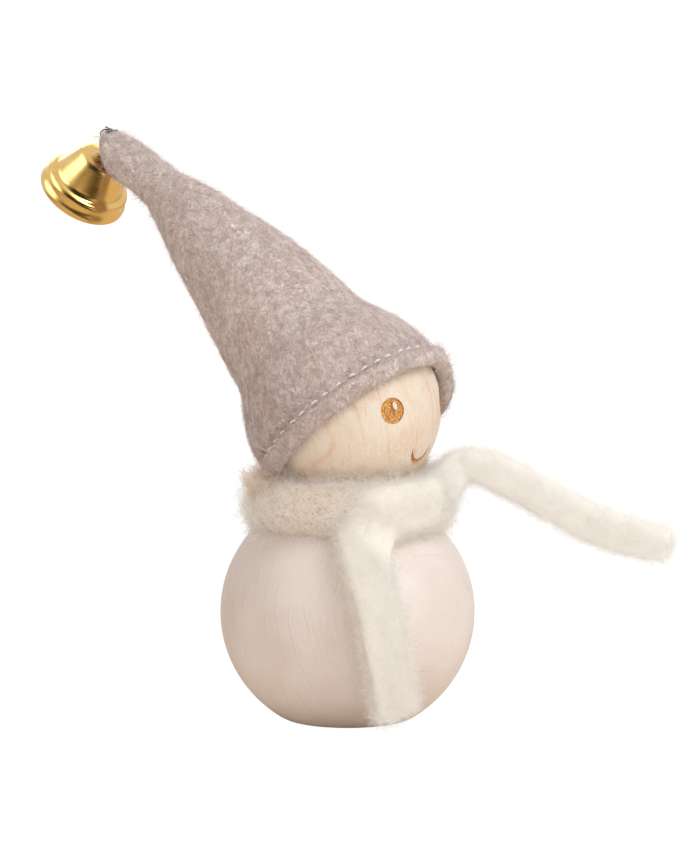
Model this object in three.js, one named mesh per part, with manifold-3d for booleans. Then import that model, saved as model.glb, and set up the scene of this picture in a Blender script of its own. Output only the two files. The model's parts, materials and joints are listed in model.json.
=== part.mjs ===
// A small wooden elf that stands on a table: two turned balls pinned by a dowel, a felt cone hat
// with a sewn hem and a brass bell, and a carded-wool scarf with one hanging and one wired tail.
// Millimetres, +Z up. The face looks to -Y, and the origin is the middle of the flat base.
import * as THREE from 'three';
import { mergeVertices } from 'three/addons/utils/BufferGeometryUtils.js';
import Module from 'manifold-3d';

const wasm = await Module();
wasm.setup();

const DEGREE = Math.PI / 180;
const WELD = 1e-4;

// Turned wood
const BODY_RADIUS = 25.05;
const BODY_HALF_HEIGHT = 24.35;
const BASE_RADIUS = 12.4;
const BASE_EDGE = 0.8;
const HEAD_RADIUS = 18.35;
const NECK_RADIUS = 7.3;
const NECK_GLUE = 0.1;
const DOWEL_RADIUS = 4;
const DOWEL_LENGTH = 22;
const DOWEL_CHAMFER = 0.8;
const DOWEL_SIDE_GAP = 0.25;
const DOWEL_END_GAP = 0.5;
const WOOD_SEGMENTS = 36;

// Face, burnt in as shallow stamps
const EYE_RADIUS = 2.55;
const EYE_AZIMUTH = 29.5;
const EYE_LATITUDE = 4.5;
const SMILE_RADIUS = 3;
const SMILE_THICKNESS = 1;
const SMILE_RISE = 14;
const SMILE_LATITUDE = -22.5;
const STAMP_DEPTH = 0.45;
const STAMP_REACH = 2;

// Felt hat: its middle line starts in the head's centre and leans back in the plane x = 0
const FELT = 1.6;
const HAT_GAP = 0.3;
const HAT_START_PULL = { back: 14.3, up: 16.1 };
const HAT_END_PULL = { back: 42.9, up: 44.9 };
const HAT_TIP = { back: 55.9, up: 48.1 };
const CONE_RADIUS = 16.25;
const CONE_PULL_RADIUS = 14.15;
const DOME_BLEND = 1.2;
const RIM_DROP = 4.8;
const HEM_WIDTH = 4.4;
const STITCH_PULL = 0.3;
const STITCH_GROOVE = 1.3;
const TIP_RADIUS = 4.45;
const TIP_LENGTH = 14;
const TIP_SLANT = 2.4;
const HAT_SEGMENTS = 32;

// Sewing thread
const HEM_THREAD_RADIUS = 0.35;
const HEM_STITCHES = 41;
const STITCH_LIFT = 0.2;
const SEWN_GAP = 0.2;
const BELL_THREAD_RADIUS = 0.35;
const THREAD_HALF_SPAN = 1.5;
const THREAD_INSET = 1.6;
const HOLE_GAP = 0.35;

// Brass bell: heights run up from the mouth
const BELL_WALL = 0.6;
const BELL_MOUTH_RADIUS = 9.2;
const LIP_HEIGHT = 2.2;
const LIP_TOP_RADIUS = 8.5;
const BEAD_HEIGHT = 3.9;
const BEAD_TOP_RADIUS = 7.4;
const WAIST_HEIGHT = 4.7;
const WAIST_RADIUS = 6.4;
const SHOULDER_HEIGHT = 8.8;
const SHOULDER_RADIUS = 4.9;
const CROWN_STEP_HEIGHT = 10.3;
const CROWN_STEP_RADIUS = 3.4;
const BELL_HEIGHT = 11;
const CORNER_ROUND = 0.1;
const LIP_ROUND = 0.7;
const SHOULDER_ROUND = 1;
const SHOULDER_DROP = 1.6;
const CROWN_ROUND = 0.8;
const BELL_SEGMENTS = 28;
const BELL_TILT = 42.3;
const BELL_HEADING = 16.4;
const BELL_OUT = 1.05;
const BELL_UP = 0.93;
const HANGER_WIRE_RADIUS = 0.4;
const HOOK_RADIUS = 1.1;
const LINK_GAP = 0.3;
const CLAPPER_WIRE_RADIUS = 0.35;
const CLAPPER_LENGTH = 4.2;
const CLAPPER_BALL_RADIUS = 1.6;

// Wool scarf
const WRAP_MIDDLE_RADIUS = 15.4;
const WRAP_HALF_WIDTH = 4.2;
const WRAP_OVERLAP = 1.2;
const WRAP_HALF_HEIGHT = 5.8;
const WRAP_BELOW_NECK = 1.5;
const WOOL_GAP = 0.35;
const WRAP_STEPS = 48;
const WRAP_SIDES = 16;
const FRONT_AZIMUTH = -46;
const FRONT_END_AZIMUTH = -36;
const FRONT_BREADTH = 9.6;
const FRONT_DEPTH = 4;
const FRONT_ROOT_OUT = 2.1;
const FRONT_ROOT_DROP = 4;
const FRONT_ANGLES = [26, 10, -6];
const FRONT_END_HEIGHT = 5.2;
const FRONT_END_TUCK = 1.6;
const FLYING_AZIMUTH = 32;
const FLYING_BREADTH = 5;
const FLYING_ROOT_DEPTH = 5;
const FLYING_DEPTH = 7.6;
const FLYING_ROOT_RISE = 0.2;
const FLYING_ROOT_OUT = 0.5;
const FLYING_RUN = [[0, 0], [4.6, 2.1], [11.8, -1.5], [18.5, -5.1], [29.3, -10.7], [42.4, -14.3]];
const TAIL_END_ROUND = 2;
const TAIL_SIDES = 12;
const WIRE_RADIUS = 0.5;
const WIRE_START = 1;
const WIRE_LENGTH = 38;

// Heights that follow from the balls
const bodyZ = BODY_HALF_HEIGHT * Math.sqrt(1 - (BASE_RADIUS / BODY_RADIUS) ** 2);
const neckZ = bodyZ + BODY_HALF_HEIGHT * Math.sqrt(1 - (NECK_RADIUS / BODY_RADIUS) ** 2);
const headBottomZ = neckZ + NECK_GLUE;
const headZ = headBottomZ + Math.sqrt(HEAD_RADIUS ** 2 - NECK_RADIUS ** 2);
const headCentre = new THREE.Vector3(0, 0, headZ);

const finishes = {
  washedWood: { color: 0xdfcfc6, roughness: 0.55, metalness: 0 },
  paleWood: { color: 0xe8cdb0, roughness: 0.5, metalness: 0 },
  dowelWood: { color: 0xd9b98c, roughness: 0.7, metalness: 0 },
  felt: { color: 0xbfaaa2, roughness: 0.95, metalness: 0 },
  whiteThread: { color: 0xf2eee8, roughness: 0.8, metalness: 0 },
  darkThread: { color: 0x4b4a55, roughness: 0.8, metalness: 0 },
  brass: { color: 0xd0a04c, roughness: 0.25, metalness: 1 },
  steel: { color: 0xa8a8a8, roughness: 0.4, metalness: 1 },
  wool: { color: 0xefe4d8, roughness: 1, metalness: 0 },
};

const elf = new THREE.Group();

function addPiece(parent, name, geometry, finish) {
  const mesh = new THREE.Mesh(geometry, new THREE.MeshStandardMaterial(finishes[finish]));
  mesh.name = name;
  parent.add(mesh);
}

// Geometry helpers

// The same surface with shared corners merged, collapsed triangles dropped and its faces outward.
function closedSurface(geometry) {
  const bare = geometry.clone();
  for (const name of Object.keys(bare.attributes)) {
    if (name !== 'position') bare.deleteAttribute(name);
  }
  const merged = mergeVertices(bare, WELD);
  const { array } = merged.index;
  const at = merged.attributes.position;
  const corner = [0, 1, 2].map(() => new THREE.Vector3());
  const kept = [];
  let volume = 0;
  for (let i = 0; i < array.length; i += 3) {
    const [a, b, c] = [array[i], array[i + 1], array[i + 2]];
    if (a === b || b === c || c === a) continue;
    kept.push(a, b, c);
    [a, b, c].forEach((vertex, k) => corner[k].fromBufferAttribute(at, vertex));
    volume += corner[0].dot(corner[1].clone().cross(corner[2]));
  }
  if (volume < 0) {
    for (let i = 0; i < kept.length; i += 3) [kept[i], kept[i + 1]] = [kept[i + 1], kept[i]];
  }
  merged.setIndex(kept);
  return merged;
}

function solidOf(geometry) {
  const surface = closedSurface(geometry);
  const mesh = new wasm.Mesh({
    numProp: 3,
    vertProperties: new Float32Array(surface.attributes.position.array),
    triVerts: new Uint32Array(surface.index.array),
  });
  return new wasm.Manifold(mesh);
}

function geometryOf(solid) {
  const { vertProperties, triVerts } = solid.getMesh();
  const geometry = new THREE.BufferGeometry();
  geometry.setAttribute('position', new THREE.BufferAttribute(new Float32Array(vertProperties), 3));
  geometry.setIndex([...triVerts]);
  geometry.computeVertexNormals();
  return geometry;
}

function cut(geometry, ...tools) {
  return geometryOf(tools.reduce((solid, tool) => solid.subtract(solidOf(tool)), solidOf(geometry)));
}

function join(...geometries) {
  return geometryOf(geometries.map(solidOf).reduce((solid, other) => solid.add(other)));
}

// A surface over rings with the same number of points. A looped one runs from the last ring back
// to the first; any other is closed by a fan over each end ring.
function skin(rings, looped) {
  const count = rings[0].length;
  const points = rings.flat();
  const index = [];
  const quadRows = looped ? rings.length : rings.length - 1;
  for (let row = 0; row < quadRows; row += 1) {
    const below = row * count;
    const above = ((row + 1) % rings.length) * count;
    for (let k = 0; k < count; k += 1) {
      const next = (k + 1) % count;
      index.push(below + k, below + next, above + k, below + next, above + next, above + k);
    }
  }
  if (!looped) {
    for (const [row, turned] of [[0, true], [rings.length - 1, false]]) {
      const middle = new THREE.Vector3();
      rings[row].forEach((point) => middle.addScaledVector(point, 1 / count));
      points.push(middle);
      for (let k = 0; k < count; k += 1) {
        const edge = [row * count + k, row * count + ((k + 1) % count)];
        if (turned) edge.reverse();
        index.push(...edge, points.length - 1);
      }
    }
  }
  const geometry = new THREE.BufferGeometry().setFromPoints(points);
  geometry.setIndex(index);
  return closedSurface(geometry);
}

// A solid turned about Z from an outline of (radius, height) points.
function turned(outline, segments) {
  return closedSurface(new THREE.LatheGeometry(outline, segments).rotateX(90 * DEGREE));
}

function arc(centre, radii, from, to, steps) {
  return Array.from({ length: steps + 1 }, (_, i) => {
    const angle = from + ((to - from) * i) / steps;
    const x = centre.x + radii.x * Math.cos(angle);
    return new THREE.Vector2(x, centre.y + radii.y * Math.sin(angle));
  });
}

// A closed thread or wire ring along a closed curve.
function ringTube(curve, radius, steps, sides) {
  return closedSurface(new THREE.TubeGeometry(curve, steps, radius, sides, true));
}

// Level directions at an azimuth counted from -Y towards +X.
function outward(azimuth) {
  return new THREE.Vector3(Math.sin(azimuth * DEGREE), -Math.cos(azimuth * DEGREE), 0);
}

function sideways(azimuth) {
  return new THREE.Vector3(Math.cos(azimuth * DEGREE), Math.sin(azimuth * DEGREE), 0);
}

function placeAt(azimuth, radius, z) {
  return outward(azimuth).multiplyScalar(radius).setZ(z);
}

// Balls and dowel

const holeRadius = DOWEL_RADIUS + DOWEL_SIDE_GAP;
const holeDepth = DOWEL_LENGTH / 2 + DOWEL_END_GAP;

function bodyBall() {
  const edgeAngle = Math.asin((BASE_EDGE - bodyZ) / BODY_HALF_HEIGHT);
  const centre = new THREE.Vector2(0, bodyZ);
  const radii = new THREE.Vector2(BODY_RADIUS, BODY_HALF_HEIGHT);
  const side = arc(centre, radii, edgeAngle, Math.acos(NECK_RADIUS / BODY_RADIUS), 18);
  const flatEnd = new THREE.Vector2(BASE_RADIUS - BASE_EDGE, 0);
  const corner = new THREE.Vector2(BASE_RADIUS, 0);
  const edge = new THREE.QuadraticBezierCurve(flatEnd, corner, side[0]).getPoints(3);
  return turned([
    new THREE.Vector2(0, 0),
    ...edge,
    ...side.slice(1),
    new THREE.Vector2(holeRadius, neckZ),
    new THREE.Vector2(holeRadius, neckZ - holeDepth),
    new THREE.Vector2(0, neckZ - holeDepth),
  ], WOOD_SEGMENTS);
}

// Turns a shape drawn on the XY plane to face out of the head, its floor sunk by the stamp depth.
function onFace(geometry, azimuth, latitude) {
  const level = outward(azimuth).multiplyScalar(Math.cos(latitude * DEGREE));
  const out = level.setZ(Math.sin(latitude * DEGREE));
  const side = sideways(azimuth);
  const basis = new THREE.Matrix4().makeBasis(side, out.clone().cross(side), out);
  basis.setPosition(headCentre.clone().addScaledVector(out, HEAD_RADIUS - STAMP_DEPTH));
  return geometry.applyMatrix4(basis);
}

function eyeStamp(azimuth) {
  const disc = new THREE.CylinderGeometry(EYE_RADIUS, EYE_RADIUS, STAMP_REACH, 24);
  disc.rotateX(90 * DEGREE).translate(0, 0, STAMP_REACH / 2);
  return onFace(disc, azimuth, EYE_LATITUDE);
}

// A crescent between two arcs that meet in points at the corners of the mouth.
function smileStamp() {
  const rise = Math.sin(SMILE_RISE * DEGREE) * SMILE_RADIUS;
  const inside = SMILE_RADIUS - SMILE_THICKNESS;
  const innerY = (SMILE_RADIUS ** 2 - inside ** 2) / (2 * (inside + rise));
  const innerRadius = inside + innerY;
  const corner = Math.atan2(rise - innerY, SMILE_RADIUS * Math.cos(SMILE_RISE * DEGREE));
  const crescent = new THREE.Shape();
  crescent.absarc(0, 0, SMILE_RADIUS, Math.PI - SMILE_RISE * DEGREE, SMILE_RISE * DEGREE, false);
  crescent.absarc(0, innerY, innerRadius, corner, Math.PI - corner, true);
  const options = { depth: STAMP_REACH, bevelEnabled: false, curveSegments: 8 };
  return onFace(new THREE.ExtrudeGeometry(crescent, options), 0, SMILE_LATITUDE);
}

function headBall() {
  const flatAngle = -Math.acos(NECK_RADIUS / HEAD_RADIUS);
  const centre = new THREE.Vector2(0, headZ);
  const radii = new THREE.Vector2(HEAD_RADIUS, HEAD_RADIUS);
  const ball = turned([
    new THREE.Vector2(0, neckZ + holeDepth),
    new THREE.Vector2(holeRadius, neckZ + holeDepth),
    new THREE.Vector2(holeRadius, headBottomZ),
    ...arc(centre, radii, flatAngle, Math.PI / 2, 20),
  ], WOOD_SEGMENTS);
  return cut(ball, eyeStamp(-EYE_AZIMUTH), eyeStamp(EYE_AZIMUTH), smileStamp());
}

function neckDowel() {
  const half = DOWEL_LENGTH / 2;
  const tip = DOWEL_RADIUS - DOWEL_CHAMFER;
  return turned([
    new THREE.Vector2(0, neckZ - half),
    new THREE.Vector2(tip, neckZ - half),
    new THREE.Vector2(DOWEL_RADIUS, neckZ - half + DOWEL_CHAMFER),
    new THREE.Vector2(DOWEL_RADIUS, neckZ + half - DOWEL_CHAMFER),
    new THREE.Vector2(tip, neckZ + half),
    new THREE.Vector2(0, neckZ + half),
  ], 24);
}

addPiece(elf, 'body_ball', bodyBall(), 'washedWood');
addPiece(elf, 'head_ball', headBall(), 'paleWood');
addPiece(elf, 'neck_dowel', neckDowel(), 'dowelWood');

// Hat

const spine = new THREE.CubicBezierCurve3(...[
  { back: 0, up: 0 }, HAT_START_PULL, HAT_END_PULL, HAT_TIP,
].map(({ back, up }) => new THREE.Vector3(0, back, headZ + up)));
const spineLength = spine.getLength();
const tubeStart = spineLength - TIP_LENGTH;
const rimS = -RIM_DROP;
const stitchS = rimS + HEM_WIDTH;

// Place, axis and front direction of the hat's middle line, s mm from the head's centre.
function hatFrame(s) {
  const share = THREE.MathUtils.clamp(s / spineLength, 0, 1);
  const axis = spine.getTangentAt(share);
  const middle = spine.getPointAt(share).addScaledVector(axis, s - share * spineLength);
  return { middle, axis, front: new THREE.Vector3(0, -axis.z, axis.y) };
}

// The tip is cut on a slant, so that its upper side reaches further than its lower side.
function hatPoint(s, radius, angle) {
  const slant = THREE.MathUtils.clamp((s - tubeStart) / TIP_LENGTH, 0, 1) * TIP_SLANT;
  const { middle, front } = hatFrame(s + slant * Math.cos(angle));
  middle.addScaledVector(front, radius * Math.cos(angle));
  middle.x += radius * Math.sin(angle);
  return middle;
}

// Radius of one face of the felt, moved out from the inner face: a slim hollow cone that ends in the
// tip tube, and the dome over the head, which it flares into.
function feltRadius(s, out) {
  const share = THREE.MathUtils.clamp(s / tubeStart, 0, 1);
  const cone = CONE_RADIUS * (1 - share) ** 2 + 2 * CONE_PULL_RADIUS * share * (1 - share)
    + TIP_RADIUS * share ** 2 - FELT + out;
  const domeRadius = innerDome + out;
  if (s >= domeRadius) return cone;
  const dome = Math.sqrt(domeRadius ** 2 - s ** 2);
  return dome + DOME_BLEND * Math.log(1 + Math.exp((cone - dome) / DOME_BLEND));
}

const innerDome = HEAD_RADIUS + HAT_GAP;
const innerRadius = (s) => feltRadius(s, 0);
const outerRadius = (s) => feltRadius(s, FELT);
const hemRadius = (s) => innerRadius(s) + 2 * FELT;
const grooveRadius = outerRadius(stitchS) - STITCH_PULL;
const grooveFloor = HEM_THREAD_RADIUS + SEWN_GAP;

function spread(from, to, steps) {
  return Array.from({ length: steps + 1 }, (_, i) => from + ((to - from) * i) / steps);
}

// Sweeps an outline of (s, radius) points round the bent middle line.
function bentTurn(outline, looped) {
  const rings = outline.map(({ x, y }) => Array.from({ length: HAT_SEGMENTS }, (_, k) => (
    hatPoint(x, y, (2 * Math.PI * k) / HAT_SEGMENTS))));
  return skin(rings, looped);
}

// The felt runs up the outside from the rounded fold, and back down the inside.
function hatOutline() {
  const foldS = rimS + FELT;
  const foldCentre = new THREE.Vector2(innerRadius(foldS) + FELT, foldS);
  const fold = arc(foldCentre, new THREE.Vector2(FELT, FELT), Math.PI, 2 * Math.PI, 6);
  const hemTop = stitchS - STITCH_GROOVE;
  const domeStart = stitchS + STITCH_GROOVE;
  const stations = [
    ...spread(domeStart, innerDome, 6),
    ...spread(innerDome, tubeStart, 5).slice(1),
    ...spread(tubeStart, spineLength, 2).slice(1),
  ];
  const inside = [...spread(foldS, innerDome, 6).slice(1), ...stations.slice(7)].reverse();
  return [
    ...fold.map(({ x, y }) => new THREE.Vector2(y, x)),
    new THREE.Vector2(hemTop, hemRadius(hemTop)),
    new THREE.Vector2(stitchS - grooveFloor, grooveRadius),
    new THREE.Vector2(stitchS + grooveFloor, grooveRadius),
    ...stations.map((s) => new THREE.Vector2(s, outerRadius(s))),
    ...inside.map((s) => new THREE.Vector2(s, innerRadius(s))),
  ];
}

const tip = hatFrame(spineLength);
const holeAlong = TIP_SLANT - THREAD_INSET;

function inTip(side, along, up) {
  const place = tip.middle.clone().addScaledVector(tip.axis, along).addScaledVector(tip.front, up);
  place.x += side;
  return place;
}

// The hole that one strand of the bell's thread takes through the upper side of the tip.
function threadHole(side) {
  const radius = BELL_THREAD_RADIUS + HOLE_GAP;
  const hole = new THREE.CylinderGeometry(radius, radius, 3 * FELT, 10);
  const turn = new THREE.Quaternion().setFromUnitVectors(new THREE.Vector3(0, 1, 0), tip.front);
  const place = inTip(side, holeAlong, TIP_RADIUS - FELT / 2);
  return hole.applyQuaternion(turn).translate(place.x, place.y, place.z);
}

function hatFelt() {
  return cut(
    bentTurn(hatOutline(), true),
    threadHole(-THREAD_HALF_SPAN),
    threadHole(THREAD_HALF_SPAN),
  );
}

// The hem's running thread lies in the groove and rises once at each stitch.
function hemThread() {
  const steps = HEM_STITCHES * 3;
  const rest = grooveRadius + SEWN_GAP + HEM_THREAD_RADIUS;
  const points = Array.from({ length: steps }, (_, k) => {
    const angle = (2 * Math.PI * k) / steps;
    const lift = STITCH_LIFT * (1 - Math.cos(angle * HEM_STITCHES));
    return hatPoint(stitchS, rest + lift, angle);
  });
  return ringTube(new THREE.CatmullRomCurve3(points, true), HEM_THREAD_RADIUS, steps, 4);
}

addPiece(elf, 'hat_felt', hatFelt(), 'felt');
addPiece(elf, 'hem_thread', hemThread(), 'whiteThread');

// Bell, hung on a thread loop at the open tip

const bellPivot = inTip(0, BELL_OUT, BELL_UP);
const bell = new THREE.Group();
bell.position.copy(bellPivot);
bell.rotation.set(BELL_TILT * DEGREE, 0, -BELL_HEADING * DEGREE, 'ZXY');
elf.add(bell);

const eyeRadius = HANGER_WIRE_RADIUS + BELL_THREAD_RADIUS + LINK_GAP;
const crownZ = -(eyeRadius + HANGER_WIRE_RADIUS + LINK_GAP);
const mouthZ = crownZ - BELL_HEIGHT;
const hookZ = crownZ - BELL_WALL - LINK_GAP - HANGER_WIRE_RADIUS - HOOK_RADIUS;
const clapperZ = hookZ - HOOK_RADIUS;

// The stitch lies over the felt by the tip's upper lip, both strands go down through it, and the
// loop hangs out of the tip.
function bellThread() {
  const over = TIP_RADIUS + HOLE_GAP + BELL_THREAD_RADIUS;
  const under = TIP_RADIUS - FELT - 2 * BELL_THREAD_RADIUS;
  const hingeSide = new THREE.Vector3(1, 0, 0).applyEuler(bell.rotation);
  const strand = (side) => [
    inTip(side, (BELL_OUT + holeAlong) / 2, (BELL_UP + under) / 2),
    inTip(side, holeAlong, under),
    inTip(side, holeAlong, TIP_RADIUS - FELT / 2),
    inTip(side, holeAlong, TIP_RADIUS),
  ];
  const loop = [
    bellPivot.clone().addScaledVector(hingeSide, -THREAD_HALF_SPAN / 2),
    bellPivot,
    bellPivot.clone().addScaledVector(hingeSide, THREAD_HALF_SPAN / 2),
    ...strand(THREAD_HALF_SPAN),
    inTip(THREAD_HALF_SPAN / 2, holeAlong, over),
    inTip(-THREAD_HALF_SPAN / 2, holeAlong, over),
    ...strand(-THREAD_HALF_SPAN).reverse(),
  ];
  return ringTube(new THREE.CatmullRomCurve3(loop, true), BELL_THREAD_RADIUS, 56, 5);
}

// A quadratic stretch of the bell's outline, without its first point.
function bend(from, pull, to) {
  const ends = [from, pull, to].map(([x, y]) => new THREE.Vector2(x, y));
  return new THREE.QuadraticBezierCurve(...ends).getPoints(3).slice(1);
}

// The outline moved inwards by the wall, square to the outline.
function offsetIn(outline, wall) {
  return outline.map((point, i) => {
    const before = outline[Math.max(i - 1, 0)];
    const after = outline[Math.min(i + 1, outline.length - 1)];
    const run = after.clone().sub(before).normalize();
    return new THREE.Vector2(point.x - run.y * wall, point.y + run.x * wall);
  });
}

function bellShell() {
  const holeEdge = HANGER_WIRE_RADIUS + LINK_GAP;
  const mouth = [BELL_MOUTH_RADIUS, 0];
  const lip = [LIP_TOP_RADIUS, LIP_HEIGHT];
  const bead = [BEAD_TOP_RADIUS, BEAD_HEIGHT];
  const waist = [WAIST_RADIUS, WAIST_HEIGHT];
  const shoulder = [SHOULDER_RADIUS, SHOULDER_HEIGHT];
  const step = [CROWN_STEP_RADIUS, CROWN_STEP_HEIGHT];
  const outside = [
    new THREE.Vector2(...mouth),
    ...bend(mouth, [BELL_MOUTH_RADIUS, LIP_HEIGHT - LIP_ROUND], lip),
    ...bend(lip, [LIP_TOP_RADIUS - CORNER_ROUND, BEAD_HEIGHT - CORNER_ROUND], bead),
    ...bend(bead, [WAIST_RADIUS + CORNER_ROUND, BEAD_HEIGHT + CORNER_ROUND], waist),
    ...bend(waist, [SHOULDER_RADIUS + SHOULDER_ROUND, SHOULDER_HEIGHT - SHOULDER_DROP], shoulder),
    ...bend(shoulder, [SHOULDER_RADIUS - CROWN_ROUND, CROWN_STEP_HEIGHT - CROWN_ROUND / 2], step),
    ...bend(step, [CROWN_STEP_RADIUS - CROWN_ROUND, BELL_HEIGHT], [holeEdge, BELL_HEIGHT]),
  ];
  const inside = offsetIn(outside, BELL_WALL).reverse();
  inside[0].set(holeEdge, BELL_HEIGHT - BELL_WALL);
  inside[inside.length - 1].set(BELL_MOUTH_RADIUS - BELL_WALL, 0);
  const outline = [...outside, ...inside, outside[0].clone()];
  return turned(outline, BELL_SEGMENTS).translate(0, 0, mouthZ);
}

function wireRing(radius, wire) {
  return new THREE.TorusGeometry(radius, wire, 8, 16);
}

function wirePost(wire, top, bottom) {
  const post = new THREE.CylinderGeometry(wire, wire, top - bottom, 10);
  return post.rotateX(90 * DEGREE).translate(0, 0, (top + bottom) / 2);
}

// An eye above the crown, a post through the crown and a hook ring inside.
function bellHanger() {
  return join(
    wireRing(eyeRadius, HANGER_WIRE_RADIUS).rotateY(90 * DEGREE),
    wirePost(HANGER_WIRE_RADIUS * 0.95, -eyeRadius, hookZ + HOOK_RADIUS),
    wireRing(HOOK_RADIUS, HANGER_WIRE_RADIUS).rotateX(90 * DEGREE).translate(0, 0, hookZ),
  );
}

// The clapper hangs plumb from the hook, so its group takes back the bell's tilt.
function bellClapper() {
  const ring = HANGER_WIRE_RADIUS + CLAPPER_WIRE_RADIUS + LINK_GAP;
  return join(
    wireRing(ring, CLAPPER_WIRE_RADIUS).rotateY(90 * DEGREE),
    wirePost(CLAPPER_WIRE_RADIUS * 0.95, -ring, -CLAPPER_LENGTH),
    new THREE.SphereGeometry(CLAPPER_BALL_RADIUS, 14, 10).translate(0, 0, -CLAPPER_LENGTH),
  );
}

addPiece(elf, 'bell_thread', bellThread(), 'darkThread');
addPiece(bell, 'bell_shell', bellShell(), 'brass');
addPiece(bell, 'bell_hanger', bellHanger(), 'brass');
const clapper = new THREE.Group();
clapper.position.set(0, 0, clapperZ);
clapper.rotation.x = -BELL_TILT * DEGREE;
bell.add(clapper);
addPiece(clapper, 'bell_clapper', bellClapper(), 'brass');

// Scarf

const wrapZ = neckZ - WRAP_BELOW_NECK;
const wrapOuter = WRAP_MIDDLE_RADIUS + WRAP_HALF_WIDTH;

// Distance from a point to an ellipsoid of revolution along a direction, both in (radius, z).
function reachTo(point, direction, centreZ, radius, halfHeight) {
  const [px, pz] = [point.x / radius, (point.y - centreZ) / halfHeight];
  const [dx, dz] = [direction.x / radius, direction.y / halfHeight];
  const a = dx * dx + dz * dz;
  const b = px * dx + pz * dz;
  const inside = b * b - a * (px * px + pz * pz - 1);
  if (inside <= 0) return Infinity;
  const reach = (-b - Math.sqrt(inside)) / a;
  return reach > 0 ? reach : Infinity;
}

// The wrap fills the groove between the balls, and is thicker in front, where the strand overlaps.
function wrapRing() {
  const middle = new THREE.Vector2(WRAP_MIDDLE_RADIUS, wrapZ);
  const rings = Array.from({ length: WRAP_STEPS }, (_, step) => {
    const azimuth = (360 * step) / WRAP_STEPS;
    const overlap = WRAP_OVERLAP * (0.5 + 0.5 * Math.cos(azimuth * DEGREE));
    const halfWidth = WRAP_HALF_WIDTH + overlap;
    return Array.from({ length: WRAP_SIDES }, (__, k) => {
      const angle = (2 * Math.PI * k) / WRAP_SIDES;
      const edge = new THREE.Vector2(halfWidth * Math.cos(angle), WRAP_HALF_HEIGHT * Math.sin(angle));
      const direction = edge.clone().normalize();
      const reach = Math.min(
        edge.length(),
        reachTo(middle, direction, headZ, HEAD_RADIUS + WOOL_GAP, HEAD_RADIUS + WOOL_GAP),
        reachTo(middle, direction, bodyZ, BODY_RADIUS + WOOL_GAP, BODY_HALF_HEIGHT + WOOL_GAP),
      );
      const place = middle.clone().addScaledVector(direction, reach);
      return placeAt(azimuth, place.x, place.y);
    });
  });
  return skin(rings, true);
}

// The space that the hat's hem takes out of the wrap behind the head.
function hemSpace() {
  const low = rimS - WOOL_GAP;
  const high = stitchS + 2 * WRAP_HALF_HEIGHT;
  const radius = hemRadius(stitchS) + WOOL_GAP;
  return bentTurn([
    new THREE.Vector2(low, radius / 2),
    new THREE.Vector2(low, radius),
    new THREE.Vector2(high, radius),
    new THREE.Vector2(high, radius / 2),
  ], false);
}

// A place over the body's side at an angle above its middle height, lifted square to the surface.
function onBody(azimuth, angle, lift) {
  const normal = new THREE.Vector2(
    Math.cos(angle * DEGREE) / BODY_RADIUS,
    Math.sin(angle * DEGREE) / BODY_HALF_HEIGHT,
  ).normalize();
  const radius = BODY_RADIUS * Math.cos(angle * DEGREE) + normal.x * lift;
  return placeAt(azimuth, radius, bodyZ + BODY_HALF_HEIGHT * Math.sin(angle * DEGREE) + normal.y * lift);
}

const frontLift = FRONT_DEPTH / 2 + WOOL_GAP;
const frontRoot = placeAt(FRONT_AZIMUTH, wrapOuter + FRONT_ROOT_OUT, wrapZ - FRONT_ROOT_DROP);
const frontAzimuths = spread(FRONT_AZIMUTH, FRONT_END_AZIMUTH, FRONT_ANGLES.length + 1);
const frontPath = new THREE.CatmullRomCurve3([
  frontRoot,
  ...FRONT_ANGLES.map((angle, k) => onBody(frontAzimuths[k], angle, frontLift)),
  placeAt(frontAzimuths.at(-2), BODY_RADIUS + frontLift, bodyZ / 2),
  placeAt(FRONT_END_AZIMUTH, BODY_RADIUS + frontLift - FRONT_END_TUCK, FRONT_END_HEIGHT),
]);

const flyingRoot = {
  radius: wrapOuter + FLYING_ROOT_OUT,
  z: wrapZ + WRAP_HALF_HEIGHT + FLYING_ROOT_RISE,
};
const flyingPath = new THREE.CatmullRomCurve3(FLYING_RUN.map(([out, up]) => (
  placeAt(FLYING_AZIMUTH, flyingRoot.radius + out, flyingRoot.z + up))));

// Sections of a soft tail, broad along its hinge. Its root is round about the hinge, so that it
// turns in its seat, and its free end is blunt.
function softTail(path, hinge, breadth, depthAt, steps) {
  const ring = (place, run, breadthHere, depthHere) => {
    const across = hinge.clone().addScaledVector(run, -hinge.dot(run)).normalize();
    const over = run.clone().cross(across);
    return Array.from({ length: TAIL_SIDES }, (_, k) => {
      const angle = (2 * Math.PI * k) / TAIL_SIDES;
      return place.clone()
        .addScaledVector(across, (breadthHere / 2) * Math.cos(angle))
        .addScaledVector(over, (depthHere / 2) * Math.sin(angle));
    });
  };
  const rounds = [24, 48, 72].map((angle) => angle * DEGREE);
  const [start, startRun] = [path.getPointAt(0), path.getTangentAt(0)];
  const [end, endRun] = [path.getPointAt(1), path.getTangentAt(1)];
  const root = rounds.map((angle) => ring(
    start.clone().addScaledVector(startRun, (-depthAt(0) / 2) * Math.sin(angle)),
    startRun, breadth, depthAt(0) * Math.cos(angle),
  )).reverse();
  const middle = spread(0, 1, steps).map((u) => (
    ring(path.getPointAt(u), path.getTangentAt(u), breadth, depthAt(u))));
  const blunt = rounds.map((angle) => ring(
    end.clone().addScaledVector(endRun, TAIL_END_ROUND * Math.sin(angle)),
    endRun, breadth * Math.sqrt(Math.cos(angle)), depthAt(1) * Math.sqrt(Math.cos(angle)),
  ));
  return skin([...root, ...middle, ...blunt], false);
}

const flyingDepth = (u) => THREE.MathUtils.lerp(
  FLYING_ROOT_DEPTH, FLYING_DEPTH, THREE.MathUtils.smoothstep(u, 0, 0.4));

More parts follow.
